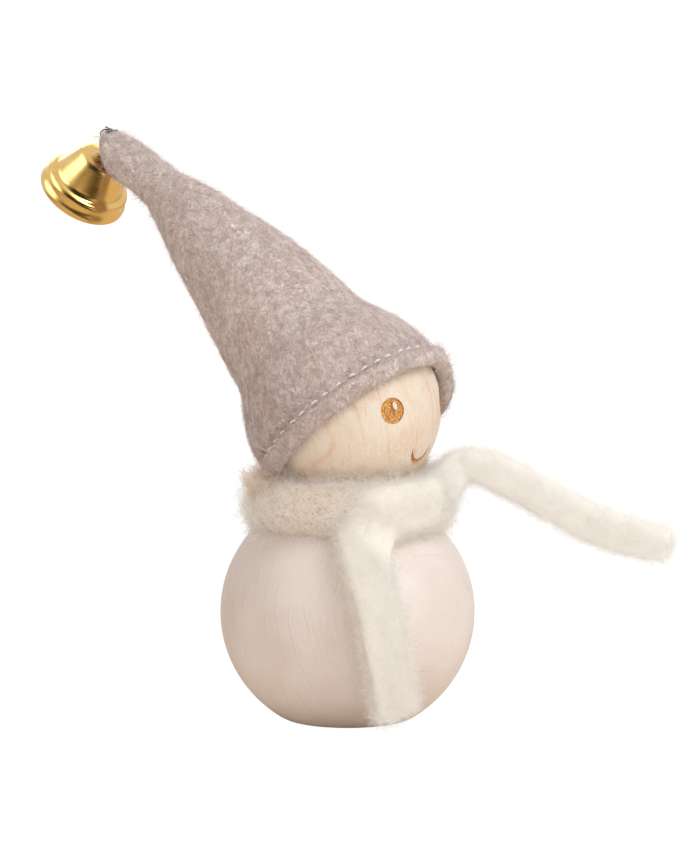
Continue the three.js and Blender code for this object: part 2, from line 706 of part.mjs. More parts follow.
// The seat in the wrap that a tail's round root turns in.
function rootSeat(place, hinge, breadth, depth) {
  const radius = depth / 2 + WOOL_GAP;
  const seat = new THREE.CylinderGeometry(radius, radius, breadth + 2 * WOOL_GAP, 20);
  const turn = new THREE.Quaternion().setFromUnitVectors(new THREE.Vector3(0, 1, 0), hinge);
  return seat.applyQuaternion(turn).translate(place.x, place.y, place.z);
}

function scarfWrap() {
  return cut(
    wrapRing(),
    hemSpace(),
    rootSeat(frontRoot, sideways(FRONT_AZIMUTH), FRONT_BREADTH, FRONT_DEPTH),
    rootSeat(flyingPath.getPointAt(0), sideways(FLYING_AZIMUTH), FLYING_BREADTH, FLYING_ROOT_DEPTH),
  );
}

// Wire stretch of the flying tail's middle line, from its start to a length along it.
function wireRun(from, to) {
  const length = flyingPath.getLength();
  return new THREE.CatmullRomCurve3(spread(from, to, 8).map((s) => (
    flyingPath.getPointAt(THREE.MathUtils.clamp(s / length, 0, 1))
      .addScaledVector(flyingPath.getTangentAt(0), Math.min(s, 0)))));
}

function wireTube(radius, from, to) {
  const section = new THREE.Shape().absarc(0, 0, radius, 0, 2 * Math.PI, false);
  const options = { steps: 16, curveSegments: 4, bevelEnabled: false, extrudePath: wireRun(from, to) };
  return new THREE.ExtrudeGeometry(section, options);
}

function flyingTail() {
  const tail = softTail(flyingPath, sideways(FLYING_AZIMUTH), FLYING_BREADTH, flyingDepth, 18);
  const bore = wireTube(WIRE_RADIUS + LINK_GAP, -FLYING_ROOT_DEPTH, WIRE_START + WIRE_LENGTH + LINK_GAP);
  return cut(tail, bore);
}

const frontTail = softTail(frontPath, sideways(FRONT_AZIMUTH), FRONT_BREADTH, () => FRONT_DEPTH, 16);

addPiece(elf, 'scarf_wrap', scarfWrap(), 'wool');
addPiece(elf, 'scarf_front_tail', frontTail, 'wool');
addPiece(elf, 'scarf_flying_tail', flyingTail(), 'wool');
addPiece(elf, 'scarf_wire', wireTube(WIRE_RADIUS, WIRE_START, WIRE_START + WIRE_LENGTH), 'steel');

export default elf;
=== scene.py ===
"""Looks of a small wooden elf with a felt cone hat, a brass bell and a carded-wool scarf."""
import json
import math

import bmesh
import bpy
import numpy as np
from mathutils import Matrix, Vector, noise

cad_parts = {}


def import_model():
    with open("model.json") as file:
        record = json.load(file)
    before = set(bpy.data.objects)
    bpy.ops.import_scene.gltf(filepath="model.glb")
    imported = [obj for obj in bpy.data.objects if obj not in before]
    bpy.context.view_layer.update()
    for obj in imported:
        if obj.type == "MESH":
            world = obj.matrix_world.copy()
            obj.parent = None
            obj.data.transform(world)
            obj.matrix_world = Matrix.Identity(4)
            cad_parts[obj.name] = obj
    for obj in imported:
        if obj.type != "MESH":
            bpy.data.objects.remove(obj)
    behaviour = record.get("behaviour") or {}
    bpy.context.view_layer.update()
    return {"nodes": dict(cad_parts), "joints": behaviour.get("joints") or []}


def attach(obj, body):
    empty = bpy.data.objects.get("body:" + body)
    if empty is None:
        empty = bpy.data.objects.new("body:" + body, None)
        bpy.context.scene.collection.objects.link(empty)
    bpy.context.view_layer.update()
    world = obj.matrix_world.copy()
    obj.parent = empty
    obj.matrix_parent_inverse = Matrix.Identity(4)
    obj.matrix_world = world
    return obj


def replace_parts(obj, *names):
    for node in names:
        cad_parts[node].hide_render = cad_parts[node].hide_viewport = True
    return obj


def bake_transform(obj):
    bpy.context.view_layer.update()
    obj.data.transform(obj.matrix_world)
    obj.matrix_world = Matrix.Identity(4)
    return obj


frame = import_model()

MM = 0.001
rng = np.random.default_rng(11)

# Turned wood, in millimetres
BODY_RADIUS = 25.05
BODY_HALF_HEIGHT = 24.35
BASE_RADIUS = 12.4
BASE_EDGE = 0.8
NECK_RADIUS = 7.3
NECK_GLUE = 0.1
HEAD_RADIUS = 18.35
HEAD_TOP_LATITUDE = 88.5
BODY_Z = BODY_HALF_HEIGHT * math.sqrt(1 - (BASE_RADIUS / BODY_RADIUS) ** 2)
NECK_Z = BODY_Z + BODY_HALF_HEIGHT * math.sqrt(1 - (NECK_RADIUS / BODY_RADIUS) ** 2)
HEAD_Z = NECK_Z + NECK_GLUE + math.sqrt(HEAD_RADIUS ** 2 - NECK_RADIUS ** 2)
WOOD_SEGMENTS = 160

# Face
EYE_RADIUS = 2.55
EYE_AZIMUTH = 29.5
EYE_LATITUDE = 4.5
GLINT_PLACE = (0.55, 0.95)
GLINT_SIZE = (0.45, 0.8)
GLINT_LEAN = 20
SMILE_RADIUS = 3.0
SMILE_THICKNESS = 1.0
SMILE_RISE = 14
SMILE_LATITUDE = -22.5
STAMP_DEPTH = 0.45
STAMP_REACH = 2.0
BURNT_DEPTH = 0.06
FACE_FRONT_Y = -5
FACE_BOTTOM_Z = 48
SHARP_ANGLE = 35

# Felt hat
FELT = 1.6
HAT_GAP = 0.3
HAT_PULLS = ((0, 0), (14.3, 16.1), (42.9, 44.9), (55.9, 48.1))
CONE_RADIUS = 16.25
CONE_PULL_RADIUS = 14.15
DOME_BLEND = 1.2
RIM_DROP = 4.8
HEM_WIDTH = 4.4
STITCH_PULL = 0.75
STITCH_GROOVE = 1.3
SAG = 3.7
SAG_TOP = 18
TIP_RADIUS = 4.45
TIP_LENGTH = 14
TIP_SLANT = 2.4
HAT_SEGMENTS = 180
HEM_STITCHES = 41
STITCH_LENGTH = 1.45
THREAD_RADIUS = 0.26
FELT_SPREAD = 42
FELT_CURL = 0.24

# Brass bell, heights up from the mouth, and its thread
BELL_WALL = 0.6
BELL_HEIGHT = 11
BELL_MOUTH_RADIUS = 9.2
BELL_CROWN_HOLE = 0.7
CROWN_BELOW_PIVOT = 1.75
BELL_SEGMENTS = 128
LOOP_SIDE = 1.5
LOOP_HOLE = 0.8
LOOP_RADIUS = 0.2
LIP_THREAD_RADIUS = 0.15
LOOSE_END_RADIUS = 0.14

# Wool scarf
WRAP_Z = NECK_Z - 1.5
WRAP_RADIUS = 15.4
WRAP_HALF_WIDTH = 4.2
WRAP_FRONT_WIDTH = 0.9
WRAP_HALF_HEIGHT = 5.3
WRAP_STEPS = 216
WRAP_SIDES = 64
WOOL_GAP = 0.15
HAZE_LOW = 47.0
HAZE_HEIGHT = 4.0
BAND_SIDES = 48
MELT_CELL = 0.3
MELT_SMOOTHING = 150
LONG_FIBRE = 3.3
FLYING_AZIMUTH = 32
FLYING_ROOT = (20.1, WRAP_Z + 6.0)

# Camera that matches the photograph: its frame is 700 by 848 pixels
VIEW_AZIMUTH = -58
VIEW_ELEVATION = 7
VIEW_DISTANCE = 900
PIXELS_PER_MM = 5.1
FRAME_HEIGHT = 848
SENSOR = 36
AIM_HEIGHT = 58.3
AIM_RIGHT = 0.49


# Places and curves

def outward(azimuth):
    """Level direction at an azimuth counted from -Y towards +X."""
    turn = math.radians(azimuth)
    return np.array([math.sin(turn), -math.cos(turn), 0.0])


def sideways(azimuth):
    turn = math.radians(azimuth)
    return np.array([math.cos(turn), math.sin(turn), 0.0])


def place_at(azimuth, radius, z):
    return outward(azimuth) * radius + np.array([0, 0, z])


def round_axis(radius, z, azimuth):
    """Places at many azimuths."""
    turn = np.radians(azimuth)
    return np.stack([radius * np.sin(turn), -radius * np.cos(turn), z], axis=-1)


def full_turn(count):
    return np.linspace(0, 2 * math.pi, count, endpoint=False)


def unit(vectors):
    return vectors / np.maximum(np.linalg.norm(vectors, axis=-1, keepdims=True), 1e-9)


def smoothstep(value, low, high):
    share = np.clip((value - low) / (high - low), 0, 1)
    return share * share * (3 - 2 * share)


def through(points, steps):
    """A Catmull-Rom curve through rows of numbers, with this many steps between two rows."""
    rows = np.asarray(points, float)
    rows = np.vstack([2 * rows[0] - rows[1], rows, 2 * rows[-1] - rows[-2]])
    t = np.linspace(0, 1, steps, endpoint=False)[:, None]
    made = []
    for a, b, c, d in zip(rows, rows[1:], rows[2:], rows[3:]):
        made.append(0.5 * (2 * b + (c - a) * t + (2 * a - 5 * b + 4 * c - d) * t ** 2
                           + (3 * b - a - 3 * c + d) * t ** 3))
    return np.vstack(made + [rows[-2:-1]])


def evenly(curve, count):
    """The same curve with points at equal distances."""
    steps = np.linalg.norm(np.diff(curve[:, :3], axis=0), axis=1)
    run = np.concatenate([[0], np.cumsum(steps)])
    at = np.linspace(0, run[-1], count)
    return np.column_stack([np.interp(at, run, column) for column in curve.T])


def lumps(points, size, seed):
    """Smooth noise from -1 to 1 at each point, with lumps of about this size."""
    shift = Vector((seed * 7.3, seed * 3.1, seed * 5.7))
    flat = points.reshape(-1, 3) / size
    values = [noise.noise(Vector(p) + shift) for p in flat]
    return np.array(values).reshape(points.shape[:-1])


# Meshes

def make_piece(name, points, faces, material):
    mesh = bpy.data.meshes.new(name)
    mesh.from_pydata((np.asarray(points) * MM).tolist(), [], faces)
    mesh.polygons.foreach_set("use_smooth", [True] * len(mesh.polygons))
    mesh.materials.append(material)
    piece = bpy.data.objects.new(name, mesh)
    bpy.context.scene.collection.objects.link(piece)
    return piece


def grid_faces(rows, sides, looped):
    """Quads over rows of points, each row a ring."""
    row = np.arange(rows if looped else rows - 1)[:, None]
    side = np.arange(sides)[None, :]
    above, next_side = (row + 1) % rows, (side + 1) % sides
    quads = np.stack([
        row * sides + side,
        row * sides + next_side,
        above * sides + next_side,
        above * sides + side,
    ], axis=-1)
    return quads.reshape(-1, 4).tolist()


def closed_faces(rows, sides, looped):
    """Faces over a grid of rings: looped back to its first ring, or capped at both ends."""
    faces = grid_faces(rows, sides, looped)
    if not looped:
        faces.append(list(range(sides))[::-1])
        faces.append(list(range((rows - 1) * sides, rows * sides)))
    return faces


def grid_piece(name, grids, material, looped=False):
    """One piece of closed skins, each over its own grid of rings."""
    faces, points = [], []
    first = 0
    for grid in grids:
        for face in closed_faces(*grid.shape[:2], looped):
            faces.append([first + corner for corner in face])
        points.append(grid.reshape(-1, 3))
        first += len(points[-1])
    piece = make_piece(name, np.vstack(points), faces, material)
    face_outward(piece)
    return piece


def face_outward(piece):
    mesh = bmesh.new()
    mesh.from_mesh(piece.data)
    bmesh.ops.recalc_face_normals(mesh, faces=mesh.faces)
    if mesh.calc_volume(signed=True) < 0:
        bmesh.ops.reverse_faces(mesh, faces=mesh.faces)
    mesh.to_mesh(piece.data)
    mesh.free()


def turned_grid(outline, segments):
    """Rings of an outline of (radius, height) turned about Z."""
    outline = np.asarray(outline, float)
    turn = full_turn(segments)
    ring = np.stack([np.sin(turn), -np.cos(turn)], axis=-1)
    grid = np.zeros((len(outline), segments, 3))
    grid[..., :2] = outline[:, None, :1] * ring[None]
    grid[..., 2] = outline[:, None, 1]
    return grid


def arc(centre, radii, start, end, steps):
    turn = np.linspace(start, end, steps + 1)
    return np.stack([centre[0] + radii[0] * np.cos(turn), centre[1] + radii[1] * np.sin(turn)], axis=-1)


def bend(start, pull, end, steps):
    """A quadratic curve between two points of an outline, without its first point."""
    t = np.linspace(0, 1, steps + 1)[1:, None]
    start, pull, end = (np.asarray(p, float) for p in (start, pull, end))
    return start * (1 - t) ** 2 + 2 * pull * t * (1 - t) + end * t ** 2


# Materials

def srgb(red, green, blue):
    """A colour written as a screen shows it, from 0 to 255."""
    def linear(value):
        value = value / 255
        return value / 12.92 if value <= 0.04045 else ((value + 0.055) / 1.055) ** 2.4
    return (linear(red), linear(green), linear(blue), 1)


def add(tree, kind, inputs=None, **settings):
    """A new node; an input takes another node's socket or a plain value."""
    node = tree.nodes.new(kind)
    for name, value in settings.items():
        setattr(node, name, value)
    for name, value in (inputs or {}).items():
        if isinstance(value, bpy.types.NodeSocket):
            tree.links.new(value, node.inputs[name])
        else:
            node.inputs[name].default_value = value
    return node


def material_of(name, roughness, **sockets):
    material = bpy.data.materials.new(name)
    material.use_nodes = True
    shader = material.node_tree.nodes["Principled BSDF"]
    shader.inputs["Roughness"].default_value = roughness
    for socket, value in sockets.items():
        shader.inputs[socket.replace("_", " ")].default_value = value
    return material, material.node_tree, shader


def place_in_mm(tree):
    coordinates = add(tree, "ShaderNodeTexCoord")
    scaled = add(tree, "ShaderNodeVectorMath", {0: coordinates.outputs["Object"], 1: (1000, 1000, 1000)},
                 operation="MULTIPLY")
    return scaled.outputs[0]


def stretched(tree, place, scale):
    return add(tree, "ShaderNodeVectorMath", {0: place, 1: scale}, operation="MULTIPLY").outputs[0]


def dot_of(tree, vector, direction):
    inputs = {0: vector, 1: tuple(direction)}
    return add(tree, "ShaderNodeVectorMath", inputs, operation="DOT_PRODUCT").outputs["Value"]


def noise_of(tree, place, scale, detail=2, distortion=0.0):
    inputs = {"Vector": place, "Scale": scale, "Detail": detail, "Distortion": distortion}
    return add(tree, "ShaderNodeTexNoise", inputs).outputs["Fac"]


def math_of(tree, operation, first, second=0.5):
    return add(tree, "ShaderNodeMath", {0: first, 1: second}, operation=operation).outputs[0]


def span(tree, value, low, high, to_low=0.0, to_high=1.0):
    inputs = {"Value": value, "From Min": low, "From Max": high, "To Min": to_low, "To Max": to_high}
    return add(tree, "ShaderNodeMapRange", inputs, interpolation_type="SMOOTHSTEP").outputs[0]


def mixed(tree, factor, first, second):
    return add(tree, "ShaderNodeMix", {0: factor, 6: first, 7: second}, data_type="RGBA").outputs[2]


def set_colour(tree, shader, colour):
    tree.links.new(colour, shader.inputs["Base Color"])


def set_bump(tree, shader, height, strength, distance_mm):
    inputs = {"Height": height, "Strength": strength, "Distance": distance_mm * MM}
    tree.links.new(add(tree, "ShaderNodeBump", inputs).outputs[0], shader.inputs["Normal"])


def grain_lines(tree, place, direction, spacing, waver, width):
    """Thin growth lines: sheets of wood square to a direction, a little wavy."""
    along = dot_of(tree, place, direction)
    wavy = math_of(tree, "MULTIPLY", noise_of(tree, place, 0.05, 1), waver)
    sheet = math_of(tree, "ADD", math_of(tree, "DIVIDE", along, spacing), wavy)
    fold = math_of(tree, "PINGPONG", sheet, 0.5)
    return span(tree, fold, 0.0, width, 1.0, 0.0)


def washed_wood():
    material, tree, shader = material_of("washed_wood", 0.48, Specular_IOR_Level=0.2)
    place = place_in_mm(tree)
    heart = outward(-13) + np.array([0, 0, 0.05])
    cloud = noise_of(tree, place, 0.09, 2)
    pores = noise_of(tree, stretched(tree, place, (3.4, 3.4, 0.5)), 1.0, 3)
    lines = grain_lines(tree, place, heart, 3.4, 2.4, 0.06)
    patchy = math_of(tree, "MULTIPLY", lines, span(tree, noise_of(tree, place, 0.13, 2), 0.4, 0.65))
    fine = grain_lines(tree, place, heart, 1.1, 7.0, 0.4)
    colour = mixed(tree, span(tree, cloud, 0.3, 0.7), srgb(225, 212, 205), srgb(231, 220, 215))
    colour = mixed(tree, span(tree, pores, 0.45, 0.75, 0, 0.22), colour, srgb(214, 190, 174))
    colour = mixed(tree, math_of(tree, "MULTIPLY", fine, 0.05), colour, srgb(206, 176, 160))
    colour = mixed(tree, math_of(tree, "MULTIPLY", patchy, 0.22), colour, srgb(192, 148, 132))
    set_colour(tree, shader, colour)
    tree.links.new(span(tree, pores, 0.3, 0.7, 0.42, 0.56), shader.inputs["Roughness"])
    set_bump(tree, shader, pores, 0.08, 0.1)
    return material


def pale_wood():
    material, tree, shader = material_of("pale_wood", 0.5, Specular_IOR_Level=0.25)
    place = place_in_mm(tree)
    cloud = noise_of(tree, place, 0.12, 2)
    pores = noise_of(tree, stretched(tree, place, (3.2, 3.2, 1.0)), 1.0, 3)
    shimmer = noise_of(tree, stretched(tree, place, (1.6, 1.6, 0.8)), 1.0, 2)
    flecks = noise_of(tree, stretched(tree, place, (1.1, 1.1, 0.34)), 1.0, 2, 0.6)
    where = noise_of(tree, place, 0.11, 1)
    lines = grain_lines(tree, place, outward(-112) + np.array([0, 0, -0.35]), 6.2, 1.8, 0.08)
    patchy = math_of(tree, "MULTIPLY", lines, span(tree, where, 0.36, 0.62))
    colour = mixed(tree, span(tree, cloud, 0.3, 0.7), srgb(224, 203, 182), srgb(230, 217, 203))
    colour = mixed(tree, span(tree, shimmer, 0.4, 0.7, 0, 0.35), colour, srgb(237, 227, 214))
    colour = mixed(tree, span(tree, pores, 0.45, 0.75, 0, 0.38), colour, srgb(224, 188, 152))
    warm = math_of(tree, "MULTIPLY", span(tree, flecks, 0.58, 0.7), span(tree, where, 0.42, 0.6))
    colour = mixed(tree, math_of(tree, "MULTIPLY", warm, 0.3), colour, srgb(228, 160, 104))
    colour = mixed(tree, math_of(tree, "MULTIPLY", patchy, 0.3), colour, srgb(214, 150, 98))
    set_colour(tree, shader, colour)
    set_bump(tree, shader, pores, 0.1, 0.1)
    return material


def burnt_wood():
    material, tree, shader = material_of("burnt_wood", 0.45, Specular_IOR_Level=0.4)
    place = place_in_mm(tree)
    fine = noise_of(tree, place, 4.5, 3)
    streak = noise_of(tree, stretched(tree, place, (1.3, 1.3, 0.35)), 1.0, 2)
    colour = mixed(tree, span(tree, fine, 0.38, 0.6), srgb(146, 82, 32), srgb(234, 176, 102))
    colour = mixed(tree, span(tree, streak, 0.58, 0.72, 0, 0.75), colour, srgb(118, 60, 26))
    set_colour(tree, shader, colour)
    set_bump(tree, shader, fine, 0.4, 0.15)
    return material


def fibre_lines(tree, place, scale, width):
    """Curly thin lines, where a noise passes its middle value."""
    value = noise_of(tree, place, scale, 2, 0.8)
    distance = math_of(tree, "ABSOLUTE", math_of(tree, "SUBTRACT", value, 0.5))
    return span(tree, distance, 0.0, width, 1.0, 0.0)


def felt():
    material, tree, shader = material_of(
        "felt", 0.95, Specular_IOR_Level=0.1, Sheen_Weight=0.4, Sheen_Roughness=0.5)
    place = place_in_mm(tree)
    cloud = noise_of(tree, place, 0.16, 3)
    tuft = noise_of(tree, place, 0.6, 3, 0.5)
    fleck = noise_of(tree, place, 1.9, 2, 0.5)
    pale = fibre_lines(tree, place, 0.9, 0.035)
    fine = fibre_lines(tree, stretched(tree, place, (1.7, 1.2, 1.9)), 1.4, 0.05)
    colour = mixed(tree, span(tree, cloud, 0.3, 0.7), srgb(252, 230, 222), srgb(255, 243, 236))
    colour = mixed(tree, span(tree, tuft, 0.35, 0.65, 0.55, 0), colour, srgb(172, 147, 141))
    colour = mixed(tree, span(tree, fleck, 0.35, 0.6, 0.36, 0), colour, srgb(160, 137, 133))
    colour = mixed(tree, math_of(tree, "MULTIPLY", pale, 0.5), colour, srgb(246, 232, 224))
    colour = mixed(tree, math_of(tree, "MULTIPLY", fine, 0.35), colour, srgb(240, 224, 216))
    # Painted shade: the felt darkens towards the hem, from 82 mm down to 50 mm up.
    height_mm = add(tree, "ShaderNodeSeparateXYZ", {0: place}).outputs["Z"]
    colour = mixed(tree, span(tree, height_mm, 50, 82, 0.3, 0), colour, srgb(132, 108, 104))
    set_colour(tree, shader, colour)
    height = math_of(tree, "ADD", tuft, math_of(tree, "MULTIPLY", math_of(tree, "ADD", pale, fine), 0.3))
    set_bump(tree, shader, height, 0.8, 0.6)
    return material


def fibre_material(name, dark, light, rare=None):
    """Thin fibres that let light through; each has its own tone, and a few take the rare colour."""
    material, tree, shader = material_of(name, 0.8, Specular_IOR_Level=0.15)
    tone = add(tree, "ShaderNodeNewGeometry").outputs["Random Per Island"]
    colour = mixed(tree, tone, dark, light)
    if rare:
        colour = mixed(tree, math_of(tree, "GREATER_THAN", tone, 0.996), colour, rare)
    set_colour(tree, shader, colour)
    through_light = add(tree, "ShaderNodeBsdfTranslucent", {"Color": colour})
    both = add(tree, "ShaderNodeMixShader", {0: 0.55, 1: shader.outputs[0], 2: through_light.outputs[0]})
    tree.links.new(both.outputs[0], tree.nodes["Material Output"].inputs["Surface"])
    return material


def wool(name, dark, light, softness):
    """The bulk of the strand under its fibres."""
    material, tree, shader = material_of(
        name, 1.0, Specular_IOR_Level=0.1, Sheen_Weight=0.4, Sheen_Roughness=0.6,
        Subsurface_Weight=softness, Subsurface_Radius=(1.0, 0.95, 0.9), Subsurface_Scale=2.5 * MM)
    tuft = noise_of(tree, place_in_mm(tree), 0.7, 3, 0.6)
    set_colour(tree, shader, mixed(tree, span(tree, tuft, 0.3, 0.7), dark, light))
    set_bump(tree, shader, tuft, 0.2, 0.4)
    return material


def brass():
    material, tree, shader = material_of("brass", 0.2, Metallic=1.0)
    place = place_in_mm(tree)
    smear = noise_of(tree, place, 0.35, 3)
    scratch = noise_of(tree, place, 5.0, 3)
    colour = mixed(tree, smear, srgb(220, 178, 102), srgb(240, 204, 132))
    set_colour(tree, shader, colour)
    tree.links.new(span(tree, smear, 0.3, 0.7, 0.16, 0.28), shader.inputs["Roughness"])
    set_bump(tree, shader, scratch, 0.2, 0.05)
    return material


def bare_wood():
    material, tree, shader = material_of("dowel_wood", 0.55, Specular_IOR_Level=0.3)
    pores = noise_of(tree, stretched(tree, place_in_mm(tree), (3.0, 3.0, 0.4)), 1.0, 3)
    colour = mixed(tree, pores, srgb(206, 172, 124), srgb(230, 202, 160))
    set_colour(tree, shader, colour)
    return material


def soft_wire():
    material, tree, shader = material_of("wire", 0.35, Metallic=1.0)
    drawn = noise_of(tree, place_in_mm(tree), 3.0, 2)
    colour = mixed(tree, drawn, srgb(150, 150, 152), srgb(190, 190, 192))
    set_colour(tree, shader, colour)
    return material


def sewing_thread(name, dark, light):
    material, tree, shader = material_of(name, 0.7, Specular_IOR_Level=0.25, Sheen_Weight=0.2)
    ply = noise_of(tree, place_in_mm(tree), 5.0, 2)
    set_colour(tree, shader, mixed(tree, ply, dark, light))
    set_bump(tree, shader, ply, 0.5, 0.1)
    return material


looks = {
    "washed_wood": washed_wood(),
    "pale_wood": pale_wood(),
    "burnt_wood": burnt_wood(),
    "felt": felt(),
    "felt_fibre": fibre_material("felt_fibre", srgb(196, 172, 166), srgb(255, 250, 247),
                                 srgb(226, 140, 130)),
    "wool": wool("wool", srgb(241, 233, 224), srgb(247, 241, 234), 0.7),
    # Wrap wool with a tan base: painted shade in the gaps between its curls.
    "gap_shade_wool": wool("gap_shade_wool", srgb(198, 170, 144), srgb(234, 218, 200), 0.2),
    "wool_fibre": fibre_material("wool_fibre", srgb(243, 239, 234), srgb(253, 251, 248)),
    # Tan fibres: painted shade where the wool lies in shadow, in the wrap's gaps, along the head and on
    # the tail's lifted edge.
    "shade_tan_fibre": fibre_material("shade_tan_fibre", srgb(226, 204, 180), srgb(250, 240, 228)),
    # Painted light: a lighter copy of the scarf's wool, a little softer, for the flying tail.
    "lit_copy_wool": wool("lit_copy_wool", srgb(249, 244, 240), srgb(254, 250, 247), 0.8),
    "brass": brass(),
    "white_thread": sewing_thread("white_thread", srgb(236, 230, 224), srgb(254, 252, 250)),
    "dark_thread": sewing_thread("dark_thread", srgb(66, 66, 76), srgb(124, 122, 132)),
    "dowel_wood": bare_wood(),
    "wire": soft_wire(),
}


# Turned wood

def body_ball():
    low = math.asin((BASE_EDGE - BODY_Z) / BODY_HALF_HEIGHT)
    high = math.acos(NECK_RADIUS / BODY_RADIUS)
    side = arc((0, BODY_Z), (BODY_RADIUS, BODY_HALF_HEIGHT), low, high, 90)
    flat_end = (BASE_RADIUS - BASE_EDGE, 0)
    edge = bend(flat_end, (BASE_RADIUS, 0), side[0], 8)
    grid = turned_grid(np.vstack([[flat_end], edge, side[1:]]), WOOD_SEGMENTS)
    piece = grid_piece("wood_body", [grid], looks["washed_wood"])
    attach(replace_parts(piece, "body_ball"), "figure")


def on_face(points, azimuth, latitude):
    """Turns (across, up, out) points to face out of the head, with out 0 on its surface."""
    turn = math.radians(latitude)
    out = outward(azimuth) * math.cos(turn) + np.array([0, 0, math.sin(turn)])
    across = sideways(azimuth)
    up = np.cross(out, across)
    centre = np.array([0, 0, HEAD_Z]) + out * HEAD_RADIUS
    return centre + points @ np.array([across, up, out])


def stamp(outlines, azimuth, latitude):
    """A prism over flat outlines, the first round the others, that cuts into the head."""
    mesh = bmesh.new()
    for outline in outlines:
        corners = [mesh.verts.new((x, y, -STAMP_DEPTH)) for x, y in outline]
        for a, b in zip(corners, corners[1:] + corners[:1]):
            mesh.edges.new((a, b))
    bmesh.ops.triangle_fill(mesh, use_beauty=True, use_dissolve=False, edges=mesh.edges[:])
    risen = bmesh.ops.extrude_face_region(mesh, geom=mesh.faces[:])["geom"]
    for corner in (item for item in risen if isinstance(item, bmesh.types.BMVert)):
        corner.co.z += STAMP_DEPTH + STAMP_REACH
    bmesh.ops.recalc_face_normals(mesh, faces=mesh.faces)
    for corner in mesh.verts:
        corner.co = Vector(on_face(np.array(corner.co), azimuth, latitude) * MM)
    data = bpy.data.meshes.new("stamp")
    mesh.to_mesh(data)
    mesh.free()
    cutter = bpy.data.objects.new("stamp", data)
    bpy.context.scene.collection.objects.link(cutter)
    return cutter


def eye_stamp(azimuth):
    disc = arc((0, 0), (EYE_RADIUS, EYE_RADIUS), 0, 2 * math.pi, 64)[:-1]
    oval = arc((0, 0), GLINT_SIZE, 0, 2 * math.pi, 24)[:-1]
    lean = math.radians(GLINT_LEAN)
    oval = oval @ np.array([[math.cos(lean), math.sin(lean)], [-math.sin(lean), math.cos(lean)]])
    return stamp([disc, oval + np.array(GLINT_PLACE)], azimuth, EYE_LATITUDE)


def smile_stamp():
    """A crescent between two arcs that meet at the corners of the mouth."""
    rise = math.radians(SMILE_RISE)
    corner_y = SMILE_RADIUS * math.sin(rise)
    inside = SMILE_RADIUS - SMILE_THICKNESS
    inner_y = (SMILE_RADIUS ** 2 - inside ** 2) / (2 * (inside + corner_y))
    inner_radius = inside + inner_y
    corner = math.atan2(corner_y - inner_y, SMILE_RADIUS * math.cos(rise))
    lower = arc((0, 0), (SMILE_RADIUS,) * 2, math.pi - rise, 2 * math.pi + rise, 40)
    upper = arc((0, inner_y), (inner_radius,) * 2, corner, -math.pi - corner, 40)
    return stamp([np.vstack([lower, upper[1:-1]])], 0, SMILE_LATITUDE)


def head_ball():
    low = -math.acos(NECK_RADIUS / HEAD_RADIUS)
    high = math.radians(HEAD_TOP_LATITUDE)
    side = arc((0, HEAD_Z), (HEAD_RADIUS, HEAD_RADIUS), low, high, 110)
    piece = grid_piece("wood_head", [turned_grid(side, WOOD_SEGMENTS)], looks["pale_wood"])
    cutters = [eye_stamp(-EYE_AZIMUTH), eye_stamp(EYE_AZIMUTH), smile_stamp()]
    for cutter in cutters:
        cut = piece.modifiers.new("stamp", "BOOLEAN")
        cut.operation, cut.solver, cut.object = "DIFFERENCE", "EXACT", cutter
    graph = bpy.context.evaluated_depsgraph_get()
    mesh = bpy.data.meshes.new_from_object(piece.evaluated_get(graph))
    piece.modifiers.clear()
    piece.data = mesh
    for cutter in cutters:
        bpy.data.objects.remove(cutter)
    mesh.materials.clear()
    mesh.materials.append(looks["pale_wood"])
    mesh.materials.append(looks["burnt_wood"])
    centre = Vector((0, 0, HEAD_Z * MM))
    for face in mesh.polygons:
        sunk = (face.center - centre).length < (HEAD_RADIUS - BURNT_DEPTH) * MM
        in_face = face.center.y < FACE_FRONT_Y * MM and face.center.z > FACE_BOTTOM_Z * MM
        face.material_index = 1 if sunk and in_face else 0
        face.use_smooth = True
    mesh.set_sharp_from_angle(angle=math.radians(SHARP_ANGLE))
    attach(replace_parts(piece, "head_ball"), "figure")


# Felt hat

def bezier(t):
    weights = np.stack([(1 - t) ** 3, 3 * t * (1 - t) ** 2, 3 * t ** 2 * (1 - t), t ** 3], axis=-1)
    return weights @ np.array(HAT_PULLS)


spine = bezier(np.linspace(0, 1, 800))
spine_run = np.concatenate([[0], np.cumsum(np.linalg.norm(np.diff(spine, axis=0), axis=1))])
spine_slope = unit(np.gradient(spine, axis=0))
SPINE_LENGTH = spine_run[-1]
TUBE_START = SPINE_LENGTH - TIP_LENGTH
RIM_S = -RIM_DROP
STITCH_S = RIM_S + HEM_WIDTH
INNER_DOME = HEAD_RADIUS + HAT_GAP


def hat_points(s, radius, angle):
    """Points round the hat's bent middle line, s mm along it from the head's centre; one side sags."""
    slant = np.clip((s - TUBE_START) / TIP_LENGTH, 0, 1) * TIP_SLANT
    degrees = np.degrees(angle) % 360
    low_side = smoothstep(degrees, 25, 70) * smoothstep(-degrees, -180, -120)
    s = s + slant * np.cos(angle) - SAG * low_side * smoothstep(-s, -SAG_TOP, RIM_DROP)
    inside = np.clip(s, 0, SPINE_LENGTH)
    axis = np.stack([np.interp(inside, spine_run, spine_slope[:, k]) for k in (0, 1)], axis=-1)
    middle = np.stack([np.interp(inside, spine_run, spine[:, k]) for k in (0, 1)], axis=-1)
    middle = middle + axis * (s - inside)[..., None]
    front = radius * np.cos(angle)
    return np.stack([
        radius * np.sin(angle),
        middle[..., 0] - axis[..., 1] * front,
        HEAD_Z + middle[..., 1] + axis[..., 0] * front,
    ], axis=-1)


